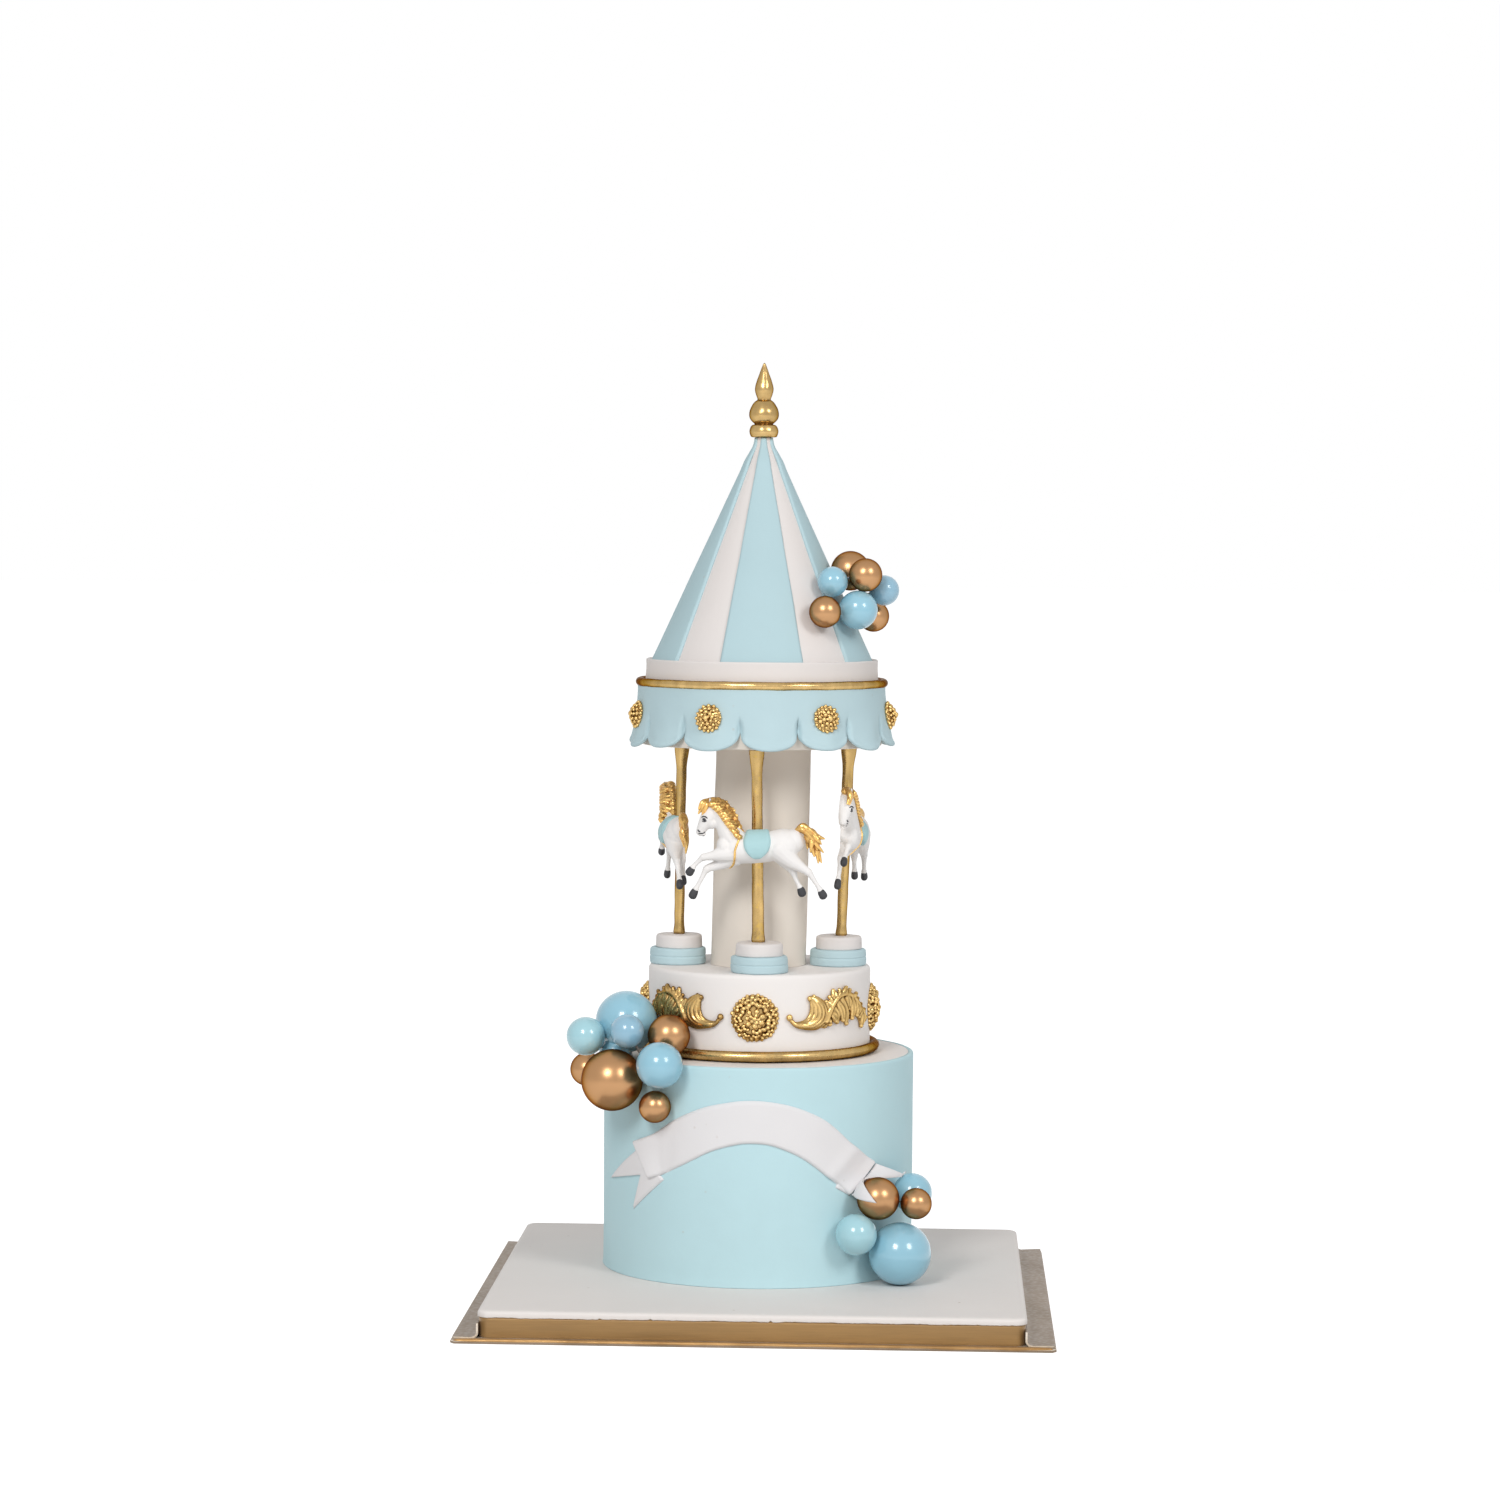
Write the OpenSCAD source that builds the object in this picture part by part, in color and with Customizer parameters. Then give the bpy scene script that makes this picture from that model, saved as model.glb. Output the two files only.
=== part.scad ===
// Carousel music box: a three-horse roundabout that turns on a tiered drum.
// The drum holds a pinned-cylinder movement. Turning the roundabout by hand
// winds its spring, and the roundabout turns back while the comb plays.
// Z is the turning axis, Z = 0 is the resting plane, and -Y is the front.

/* [Tray and board] */
// Side of the square board
board_w = 305; // [280:1:340]
// Thickness of the board
board_t = 12.7; // [9:0.1:16]
// Corner radius of the board
board_corner = 6; // [3:0.5:12]
// Thickness of the paste on the board
board_paste_t = 2.9; // [2:0.1:4]
// How far the paste stands proud of the board's edge
board_paste_proud = 1.4; // [1:0.1:2]
// How far the paste hangs over the board's edge
board_paste_lip = 2; // [1:0.1:3]
// Thickness of the ribbon round the board
ribbon_t = 0.6; // [0.4:0.1:0.9]
// Thickness of the card that the tray is folded from
tray_t = 1.5; // [1:0.1:2]
// Height of the hem along the tray's front edge
tray_hem_h = 3; // [2.5:0.1:4]
// Tray showing at the left of the board
tray_left = 15.5; // [12:0.5:22]
// Tray showing at the right of the board
tray_right = 17.5; // [12:0.5:22]
// Tray showing in front of the board
tray_front = 10.5; // [6:0.5:20]
// Tray showing behind the board
tray_back = 15.5; // [6:0.5:20]
// Height to which the side flaps stand up against the board
flap_rise = 11; // [6:0.5:13]
// Distance that the board lies to the right of the turning axis
board_right = 3.6; // [-10:0.1:10]
// Distance that the board lies in front of the turning axis
board_forward = 19.3; // [0:0.1:30]

/* [Drum] */
// Outer radius of the drum
drum_r = 92; // [80:0.5:110]
// Height of the drum
drum_h = 128; // [100:1:160]
// Thickness of the paste skin on the drum
drum_skin = 3; // [2:0.1:4]
// Thickness of the drum's lid board
lid_t = 3; // [2:0.1:4]
// Thickness of the white paste on the lid
lid_paste_t = 2.5; // [2:0.1:3.5]
// Height of the top edge of the banner above the board
banner_top = 109; // [90:1:112]
// Width of the banner's strip
banner_w = 25; // [20:0.5:30]
// Radius of the banner's upper curve
banner_curve = 90; // [75:1:110]
// Thickness of the banner
banner_t = 1.8; // [1.2:0.1:2.5]

/* [Roundabout] */
// Gap that the roundabout runs at above the drum
run_gap = 1; // [0.6:0.1:1.5]
// Outer radius of the platform
platform_r = 66; // [60:0.5:72]
// Height of the platform
platform_h = 50; // [40:0.5:60]
// Thickness of the paste skin on the platform
platform_skin = 3; // [2:0.1:4]
// Thickness of the platform's base board
platform_board_t = 3; // [2:0.1:5]
// Radius of the rolled ring at the platform's foot
foot_ring_r = 3; // [2:0.1:4]
// Radius of the centre column
column_r = 27.9; // [22:0.1:34]
// Height of the centre column
column_h = 131; // [110:1:150]
// Radius of the wooden dowel on the axis
dowel_r = 4; // [3:0.1:5]
// How far the pedestals stand in from the platform's edge
pedestal_inset = 0.8; // [0.4:0.1:8]
// Radius of a pole
pole_r = 2.9; // [2.4:0.1:3.4]
// Lean of each pole to the right, as the hand-set poles stand: front, left, right
pole_lean = [0.4, 0.5, 1.9];
// Radius of a pedestal's blue base
pedestal_r = 16.8; // [14:0.1:17.2]
// Height of a pedestal's blue base
pedestal_h = 10.4; // [7:0.1:14]
// Radius of a pedestal's white cap
cap_r = 13.6; // [10:0.1:14]
// Height of a pedestal's white cap
cap_h = 7.6; // [5:0.1:11]
// Thickness of the gold ornaments on the platform
ornament_t = 3.2; // [2:0.1:3.6]
// Radius of a platform rosette
rosette_r = 14.6; // [11:0.1:16]

/* [Horses] */
// Height of a horse's middle above the platform
horse_z = 76; // [66:0.5:84]
// Turn of each horse from its path, anticlockwise from above: front, left, right
horse_turn = [0, 8, -13];
// Depth of a horse's body outside its pole
horse_depth = 11.5; // [9:0.5:13]

/* [Canopy] */
// Radius of the canopy's core
canopy_r = 71.5; // [66:0.5:76]
// Height of the canopy's core
canopy_h = 32.6; // [26:0.2:38]
// Thickness of the valance
valance_t = 2; // [1.4:0.1:2.6]
// How far the valance flares out at its lower edge
valance_flare = 4.9; // [3:0.1:7]
// How far the scallops hang below the core
valance_drop = 2; // [0:0.1:4]
// Number of scallops
scallops = 14; // [10:2:18]
// Turn of the scallop that is nearest the front
scallop_turn = 6.1; // [0:0.1:12]
// Radius of the rolled ring above the valance
canopy_ring_r = 3; // [2:0.1:4]
// Height of the white band above the core
band_h = 17.3; // [13:0.1:20]
// Radius of a valance rosette
valance_rosette_r = 7.5; // [6:0.1:9]
// How far the cone's foot stands in from the white band's top
cone_inset = 2.9; // [1.7:0.1:10]
// Height of the cone
cone_h = 132; // [110:1:150]
// Radius of the cone's pinched top
cone_top_r = 4.6; // [4.4:0.1:6]
// Number of raised stripes
stripes = 5; // [4:1:8]
// Width of a stripe, as an angle at the axis
stripe_angle = 45; // [30:1:45]
// Thickness of a stripe
stripe_t = 1.6; // [1:0.1:2.2]
// Turn of the front stripe
stripe_turn = 2; // [-10:1:10]
// Height of the finial above the cone
finial_h = 44; // [36:0.5:52]

/* [Movement] */
// Radius of the winding stem
stem_r = 2.5; // [2:0.1:3]
// Radial clearance of every journal
run_fit = 0.05; // [0.02:0.01:0.09]
// Thickness of the bedplate
bed_t = 2.5; // [2:0.1:3]
// Module of the crown wheel and its pinion
crown_module = 0.8; // [0.7:0.05:0.85]
// Teeth of the crown wheel
crown_teeth = 48; // [40:2:52]
// Teeth of the cylinder's pinion
pinion_teeth = 12; // [12:1:14]
// Width of the crown wheel's teeth
crown_face = 2; // [1.4:0.1:2.2]
// Module of the governor train
train_module = 0.3; // [0.26:0.01:0.31]
// Teeth of the cylinder wheel
cylinder_teeth = 60; // [50:1:62]
// Teeth of the governor wheel
governor_teeth = 50; // [40:1:52]
// Teeth of the governor's and the fly's pinions
small_teeth = 10; // [10:1:12]
// Radius of the pinned cylinder
cylinder_r = 6.5; // [5:0.1:7]
// Length of the pinned cylinder
cylinder_l = 18; // [17:0.5:20]
// Height of a pin
pin_h = 0.5; // [0.3:0.1:0.8]
// Number of comb teeth
comb_teeth = 18; // [12:1:18]
// Pitch of the comb teeth
comb_pitch = 0.92; // [0.8:0.01:0.94]
// Clearance between the comb's tips and the pins at rest
comb_clear = 0.1; // [0.05:0.01:0.3]
// Height of the spring housing
housing_h = 17; // [14:0.5:22]
// Thickness of the mainspring
spring_t = 0.4; // [0.3:0.05:0.5]
// Turns of the mainspring
spring_turns = 7; // [5:1:8]

/* [Balls] */
// Radius of the wire picks that hold the balls
pick_r = 0.8; // [0.5:0.1:1.2]

/* [Hidden] */
$fn = 96;

// heights of the levels, from the resting plane up
board_z = tray_t;
board_top = board_z + board_t;
drum_z = board_top + board_paste_t;
drum_top = drum_z + drum_h;
lid_z = drum_top - lid_paste_t - lid_t;
platform_z = drum_top + run_gap;
platform_top = platform_z + platform_h;
column_top = platform_top + column_h;
core_top = column_top + canopy_h;
band_top = core_top + band_h;
cone_top = band_top + cone_h;
// the pedestals stand just inside the edge of the platform
pole_circle = platform_r - pedestal_r - pedestal_inset;
band_low_r = canopy_r - 2.2;
band_high_r = band_low_r - 2.4;
cone_r = band_high_r - cone_inset;

// colours
white_paste = [0.90, 0.88, 0.86];
blue_paste = [0.72, 0.86, 0.88];
gold_paint = [0.76, 0.60, 0.34];
ball_blue = [0.55, 0.78, 0.87];
ball_gold = [0.78, 0.56, 0.38];
brass = [0.80, 0.68, 0.38];
steel = [0.70, 0.71, 0.73];
foam = [0.95, 0.95, 0.94];

// ---- shared forms ----

// turns a piece made at the front, at -Y, to a place round the axis
module faced(turn) { rotate([0, 0, turn]) children(); }

module tube(outer, inner, height) {
    difference() {
        cylinder(r = outer, h = height);
        translate([0, 0, -1]) cylinder(r = inner, h = height + 2);
    }
}

module rounded_square(w, d, corner) {
    for (x = [-1, 1], y = [-1, 1])
        translate([x * (w / 2 - corner), y * (d / 2 - corner)]) circle(r = corner, $fn = 48);
    square([w - 2 * corner, d], center = true);
    square([w, d - 2 * corner], center = true);
}

// a rod of radius r from a to b
module rod(a, b, r) {
    v = b - a;
    turn = atan2(v[1], v[0]);
    tip = atan2(norm([v[0], v[1]]), v[2]);
    translate(a) rotate([0, tip, turn]) cylinder(r = r, h = norm(v), $fn = 24);
}

// a point at a turn round the axis from the front, a distance out and a height
function round_at(turn, out, z) = [out * sin(turn), -out * cos(turn), z];

// lays an outline drawn in X and Z onto a cylinder's wall at the front
module on_wall(r, t) {
    intersection() {
        tube(r + t, r, 1000);
        rotate([90, 0, 0]) linear_extrude(height = r + t + 1) children();
    }
}

// ---- tray and board ----

board_shift = [board_right, -board_forward, 0];
ribbon_out = board_w / 2 + ribbon_t;
paste_out = board_w / 2 + board_paste_proud;
tray_w = board_w + tray_left + tray_right;
tray_d = board_w + tray_front + tray_back;
tray_shift = board_shift + [(tray_right - tray_left) / 2, (tray_back - tray_front) / 2, 0];
flap_gap = 0.4;
flap_card = 1.1;
flap_bend = 4;

// section of a side flap, from the fold at the tray's edge to the lip that
// stands against the board; drawn for a flap whose board lies towards +X
module flap_section(reach) {
    fold_r = flap_gap / 2 + flap_card;
    lip_x = reach - flap_card;
    difference() {
        translate([fold_r, tray_t + fold_r]) circle(r = fold_r, $fn = 32);
        translate([fold_r, tray_t + fold_r]) circle(r = flap_gap / 2, $fn = 32);
        translate([fold_r, -10]) square([20, 20]);
    }
    translate([fold_r, tray_t + flap_gap + flap_card]) square([lip_x - flap_bend - fold_r, flap_card]);
    translate([lip_x - flap_bend, tray_t + flap_gap + flap_card + flap_bend])
        intersection() {
            difference() {
                circle(r = flap_bend, $fn = 48);
                circle(r = flap_bend - flap_card, $fn = 48);
            }
            translate([0, -20]) square(20);
        }
    translate([lip_x - flap_card, tray_t + flap_gap + flap_card + flap_bend])
        square([flap_card, flap_rise - flap_gap - flap_card - flap_bend]);
}

module card_tray() color([0.62, 0.55, 0.44]) {
    hem_r = tray_hem_h / 2;
    flap_l = tray_d - tray_front / 2 - 2;
    translate(tray_shift) {
        linear_extrude(height = tray_t) rounded_square(tray_w, tray_d, 3);
        translate([0, -tray_d / 2 + hem_r, hem_r]) rotate([0, 90, 0])
            cylinder(r = hem_r, h = tray_w - 4, center = true, $fn = 32);
        translate([-tray_w / 2, tray_d / 2 - 1, 0]) rotate([90, 0, 0])
            linear_extrude(height = flap_l) flap_section(tray_left - ribbon_t - 0.2);
        translate([tray_w / 2, tray_d / 2 - 1, 0]) rotate([90, 0, 0])
            linear_extrude(height = flap_l) mirror([1, 0]) flap_section(tray_right - ribbon_t - 0.2);
    }
}

module base_board() color([0.80, 0.74, 0.62])
    translate(board_shift + [0, 0, board_z])
        linear_extrude(height = board_t) rounded_square(board_w, board_w, board_corner);

module board_paste() color([0.86, 0.85, 0.84])
    translate(board_shift + [0, 0, board_top - board_paste_lip]) difference() {
        edge = 1.2;
        union() {
            linear_extrude(height = board_paste_lip + board_paste_t - edge)
                rounded_square(2 * paste_out, 2 * paste_out, board_corner + board_paste_proud);
            translate([0, 0, board_paste_lip]) linear_extrude(height = board_paste_t)
                rounded_square(2 * (paste_out - edge), 2 * (paste_out - edge), board_corner);
        }
        translate([0, 0, -1]) linear_extrude(height = board_paste_lip + 1)
            rounded_square(board_w, board_w, board_corner);
    }

module board_ribbon() color([0.70, 0.56, 0.34])
    translate(board_shift + [0, 0, board_z]) difference() {
        height = board_t - board_paste_lip;
        linear_extrude(height = height)
            rounded_square(2 * ribbon_out, 2 * ribbon_out, board_corner + ribbon_t);
        translate([0, 0, -1]) linear_extrude(height = height + 2)
            rounded_square(board_w, board_w, board_corner);
    }

// ---- drum ----

former_r = drum_r - drum_skin;
pocket_h = 34;
pocket_left = 27;
pocket_right = 53;
pocket_w = 54;

module pocket_outline()
    translate([(pocket_right - pocket_left) / 2, 0])
        rounded_square(pocket_left + pocket_right, pocket_w, 5);

module drum_former() color(foam) difference() {
    translate([0, 0, drum_z]) cylinder(r = former_r, h = lid_z - drum_z);
    translate([0, 0, lid_z - pocket_h]) linear_extrude(height = pocket_h + 1) pocket_outline();
}

module drum_paste() color(blue_paste) {
    lip = drum_skin / 2;
    rotate_extrude() {
        translate([former_r, drum_z]) square([drum_skin, drum_h - lip]);
        translate([former_r + lip, drum_top - lip]) circle(r = lip, $fn = 32);
    }
}

module drum_lid() color([0.82, 0.76, 0.64]) translate([0, 0, lid_z]) difference() {
    tube(former_r, bush_r, lid_t);
    for (s = lid_screws) translate([s[0], s[1], -1]) cylinder(r = screw_r, h = lid_screw_grip + 1, $fn = 24);
}

module lid_paste() color(white_paste) translate([0, 0, drum_top - lid_paste_t])
    tube(former_r, bush_r, lid_paste_t);

// ---- banner: an arched strip with two folded, swallow-tailed ends ----

banner_z = drum_z + banner_top - banner_curve;
banner_shift = -3;
banner_left = -42;
banner_right = 49;

// X of a point at arc length s along the drum's wall
function wall_x(s) = drum_r * sin(s * 180 / (PI * drum_r));
function banner_point(a, r) = [wall_x(banner_shift + r * sin(a)), banner_z + r * cos(a)];

module banner_strip()
    polygon(concat(
        [for (a = [banner_left:3.5:banner_right]) banner_point(a, banner_curve)],
        [for (a = [banner_right:-3.5:banner_left]) banner_point(a, banner_curve - banner_w)]));

// a tail hangs from the end of the strip; side is -1 on the left
module banner_tail(side, end_angle)
    polygon([
        banner_point(end_angle, banner_curve - 4),
        banner_point(end_angle + side * 6, banner_curve - 3),
        [wall_x(side * 106), drum_z + 56],
        [wall_x(side * 74), drum_z + 59.5],
        [wall_x(side * 82), drum_z + 42],
        banner_point(end_angle - side * 1, banner_curve - banner_w)]);

module banner() color(white_paste) {
    difference() {
        on_wall(drum_r, banner_t) banner_strip();
        on_wall(drum_r - 1, banner_t + 3) banner_tail(-1, banner_left);
        on_wall(drum_r - 1, banner_t + 3) banner_tail(1, banner_right);
    }
    on_wall(drum_r, banner_t) banner_tail(-1, banner_left);
    on_wall(drum_r, banner_t) banner_tail(1, banner_right);
}

// ---- balls: turn round the axis, height, radius and gap to the wall ----

drum_blue = [[-59.4, 148.6, 17.5, -21.5], [-58.3, 141.6, 11, 12.8], [-45.7, 146, 9.6, 1.2],
    [-30.6, 128.8, 13.5, 0.1], [61, 50.8, 11.6, 2], [50.3, 18.3, 18.2, 1], [35.4, 31.3, 12, 0.1]];
drum_gold = [[-37, 143.2, 12.3, -21.4], [-48.4, 117.7, 17.6, 0.1], [-85.7, 115.5, 10, 0.4],
    [-34, 103.8, 9.3, 0.1], [43.1, 51.3, 12.4, 2], [51.8, 48.2, 9.1, 19.4]];
cone_blue = [[51.7, 47.3, 8.9, 0.1], [85.2, 42, 9.2, 17], [62.5, 30.7, 11.4, 1.2]];
cone_gold = [[79.1, 53.6, 11.5, 0.1], [64.4, 51.6, 8.9, 15.2], [38, 30, 8.6, 0.1], [91.6, 26.7, 9.3, 2]];

// the cone's straight flank ends in a pinched neck
cone_neck_h = cone_h - 14;
cone_neck_r = 9.6;
function cone_wall(h) = cone_r - (cone_r - cone_neck_r) * h / cone_neck_h;
cone_slope = atan((cone_r - cone_neck_r) / cone_neck_h);
function drum_ball(b) = round_at(b[0], drum_r + b[2] + b[3], drum_z + b[1]);
function cone_ball(b) = round_at(b[0], cone_wall(b[1]) + (b[2] + b[3] + stripe_t) / cos(cone_slope),
    band_top + b[1]);

module drum_balls_blue() color(ball_blue)
    for (b = drum_blue) translate(drum_ball(b)) sphere(r = b[2]);

module drum_balls_gold() color(ball_gold)
    for (b = drum_gold) translate(drum_ball(b)) sphere(r = b[2]);

module canopy_balls_blue() color(ball_blue)
    for (b = cone_blue) translate(cone_ball(b)) sphere(r = b[2]);

module canopy_balls_gold() color(ball_gold)
    for (b = cone_gold) translate(cone_ball(b)) sphere(r = b[2]);

// a pick runs from a ball's middle into the drum, below its rim and outside the ring
module drum_ball_picks() color(steel)
    for (b = concat(drum_blue, drum_gold)) {
        seat_z = min(drum_ball(b)[2], drum_top - 8);
        rod(drum_ball(b), round_at(b[0], drum_r - 8, seat_z), pick_r);
    }

module canopy_ball_picks() color(steel)
    for (b = concat(cone_blue, cone_gold)) {
        seat = max(b[1] - 6, 8);
        rod(cone_ball(b), round_at(b[0], cone_wall(seat) - 8, band_top + seat), pick_r);
    }

// ---- roundabout ----

platform_inner_r = platform_r - platform_skin;
former_z = platform_z + platform_board_t;
flange_r = 18;
flange_t = 2;
well_r = flange_r + 3;
well_h = 8;
hub_r = 6;
dowel_z = former_z + well_h + 3;
dowel_top = cone_top - 14;

module platform_board() color([0.82, 0.76, 0.64]) translate([0, 0, platform_z])
    difference() {
        cylinder(r = platform_inner_r, h = platform_board_t);
        translate([0, 0, -1]) cylinder(r = hub_r + 0.2, h = platform_board_t + 2);
        for (i = [0:2]) rotate([0, 0, 120 * i]) translate([screw_circle, 0, -1])
            cylinder(r = screw_r, h = platform_board_t + 2, $fn = 24);
    }

module platform_former() color(foam) difference() {
    translate([0, 0, former_z]) cylinder(r = platform_inner_r, h = platform_top - platform_skin - former_z);
    translate([0, 0, former_z - 1]) cylinder(r = well_r, h = well_h + 1);
    translate([0, 0, dowel_z]) cylinder(r = dowel_r, h = 100);
    for (i = [0:2]) pole_at(i) cylinder(r = pole_r, h = 30, center = true);
}

module platform_paste() color(white_paste) difference() {
    edge = platform_skin;
    rotate_extrude() {
        translate([platform_inner_r, platform_z]) square([platform_skin, platform_h - edge]);
        translate([0, platform_top - platform_skin]) square([platform_r - edge, platform_skin]);
        intersection() {
            translate([platform_r - edge, platform_top - edge]) circle(r = edge, $fn = 48);
            translate([platform_r - edge, platform_top - edge]) square(edge);
        }
    }
    translate([0, 0, platform_top - platform_skin - 1]) cylinder(r = dowel_r, h = platform_skin + 2);
    for (i = [0:2]) pole_at(i) cylinder(r = pole_r, h = 30, center = true);
}

module platform_ring() color(gold_paint) rotate_extrude() intersection() {
    translate([platform_r + foot_ring_r - 0.4, platform_z + foot_ring_r - 0.4])
        circle(r = foot_ring_r, $fn = 48);
    translate([platform_r, 0]) square([20, 1000]);
}

// outline of a flower with n round petals, as one closed curve
module flower(r, n, dent) polygon([for (i = [0:n - 1], k = [0:5])
    let (a = (i + k / 6) * 360 / n, out = r - dent * (1 - sin(180 * k / 6))) out * [cos(a), sin(a)]]);

// the two upper flowers of a rosette, raised from Z = 0 and facing -Y
module rosette_heart(r, t, petals) rotate([90, 0, 0]) {
    linear_extrude(height = t * 0.55) rotate(180 / petals) flower(r * 0.66, petals, r * 0.13);
    linear_extrude(height = t) flower(r * 0.32, 6, r * 0.09);
}

ornament_z = platform_z + platform_h / 2;
module platform_rosettes() color(gold_paint) for (turn = [0:90:270]) faced(turn) {
    on_wall(platform_r, ornament_t * 0.5) translate([0, ornament_z]) flower(rosette_r, 12, rosette_r * 0.16);
    translate([0, -platform_r - ornament_t * 0.2, ornament_z]) rosette_heart(rosette_r, ornament_t * 0.8, 12);
}

// a point, and the unit normal, at t along a curve bent by four points
function bend(p, t) = pow(1 - t, 3) * p[0] + 3 * pow(1 - t, 2) * t * p[1]
    + 3 * (1 - t) * t * t * p[2] + pow(t, 3) * p[3];
function bend_normal(p, t) = let (v = bend(p, t + 0.01) - bend(p, t - 0.01)) [-v[1], v[0]] / norm(v);

// a leaf along a bent line: it swells between its ends, and its edges are lobed
module leaf(p, start, end, swell, lobes) {
    steps = lobes > 0 ? lobes * 4 : 8;
    function half(t) = start + (end - start) * t + swell * sin(180 * t);
    function edge(t) = half(t) * (lobes > 0 ? 0.78 + 0.22 * abs(sin(180 * lobes * t)) : 1);
    polygon(concat([for (k = [0:steps]) bend(p, k / steps) + edge(k / steps) * bend_normal(p, k / steps)],
        [for (k = [steps:-1:0]) bend(p, k / steps) - edge(k / steps) * bend_normal(p, k / steps)]));
}

// an acanthus scroll, in distance from a rosette and height: a horn with a
// curled tip, and a leaf that arches over from it; slim draws only its ribs
module scroll_outline(slim) {
    horn = [[20.6, 0], [27, -6], [40, -6], [43.4, 1]];
    curl = [[43.4, 0], [44, 8], [38, 13], [33.4, 10.4]];
    arch = [[42.6, -3.4], [44, 15.5], [70, 14.5], [80.5, -0.5]];
    leaf(horn, 0.7, slim ? 1 : 3.4, 0, 0);
    leaf(curl, slim ? 1 : 3.2, slim ? 0.5 : 1.2, 0, 0);
    leaf(arch, slim ? 0.9 : 1.8, slim ? 0.4 : 2.2, slim ? 0.6 : 4.6, slim ? 0 : 7);
    if (!slim) {
        translate([20.3, 0.4]) circle(r = 2, $fn = 32);
        leaf([[44, -2.5], [48, -1], [52, -2], [56.8, -7]], 2.4, 1.2, 0.6, 3);
        leaf([[59, 8], [61, 4], [62, 1], [62.6, -3.2]], 3.2, 1.4, 0.6, 3);
        leaf([[72, 8], [73, 4], [74, -1], [74.6, -6.2]], 3.2, 1.4, 0.6, 3);
    }
}

// a scroll fills the space between two rosettes, which was drawn 74.47 mm long
scroll_drawn = 74.47;
scroll_drawn_start = 14.6;
scroll_scale = (PI / 2 * platform_r - 2 * rosette_r) / scroll_drawn;
module platform_scrolls() color(gold_paint)
    for (turn = [0, 180], side = [0, 1]) faced(turn) mirror([side, 0, 0])
        for (slim = [0, 1]) faced(45) on_wall(platform_r + slim * 0.6, ornament_t * 0.5 + slim * 0.4)
            translate([rosette_r - platform_r * PI / 4, ornament_z]) scale(scroll_scale)
                translate([-scroll_drawn_start, 0]) scroll_outline(slim == 1);

module centre_dowel() color([0.80, 0.66, 0.45])
    translate([0, 0, dowel_z]) cylinder(r = dowel_r, h = dowel_top - dowel_z, $fn = 48);

module column() color(white_paste)
    translate([0, 0, platform_top]) tube(column_r, dowel_r, column_h);

// places a pole's axis with its foot on the platform: 0 front, 1 left, 2 right
module pole_at(i)
    translate(round_at([0, -90, 90][i], pole_circle, platform_top)) rotate([0, pole_lean[i], 0]) children();

pole_seat = 10;
module poles() color(gold_paint) for (i = [0:2]) intersection() {
    pole_at(i) translate([0, 0, -pole_seat]) cylinder(r = pole_r, h = column_h + 3 * pole_seat, $fn = 48);
    translate([0, 0, platform_top - pole_seat + 0.3]) cylinder(r = 200, h = column_h + 2 * pole_seat - 0.6);
}

module pedestal_bases() color(blue_paste) for (i = [0:2]) difference() {
    translate(round_at([0, -90, 90][i], pole_circle, platform_top)) rotate_extrude() {
        layer = pedestal_h / 2;
        for (k = [0, 1]) {
            translate([0, k * layer]) square([pedestal_r - 1.2, layer]);
            translate([0, k * layer + 1.2]) square([pedestal_r, layer - 2.4]);
            for (z = [1.2, layer - 1.2]) translate([pedestal_r - 1.2, k * layer + z]) circle(r = 1.2, $fn = 24);
        }
    }
    pole_at(i) cylinder(r = pole_r, h = 60, center = true);
}

module pedestal_caps() color(white_paste) for (i = [0:2]) difference() {
    edge = 1.6;
    translate(round_at([0, -90, 90][i], pole_circle, platform_top + pedestal_h)) rotate_extrude() {
        square([cap_r - edge, cap_h]);
        square([cap_r, cap_h - edge]);
        translate([cap_r - edge, cap_h - edge]) circle(r = edge, $fn = 32);
    }
    pole_at(i) cylinder(r = pole_r, h = 100, center = true);
}

limb_fn = 10;

// ---- horses: moulded in relief, with a flat back that lies against the pole ----

module limb(points, radii) for (i = [0:len(points) - 2]) hull() {
    translate(points[i]) sphere(r = radii[i], $fn = limb_fn);
    translate(points[i + 1]) sphere(r = radii[i + 1], $fn = limb_fn);
}

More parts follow.
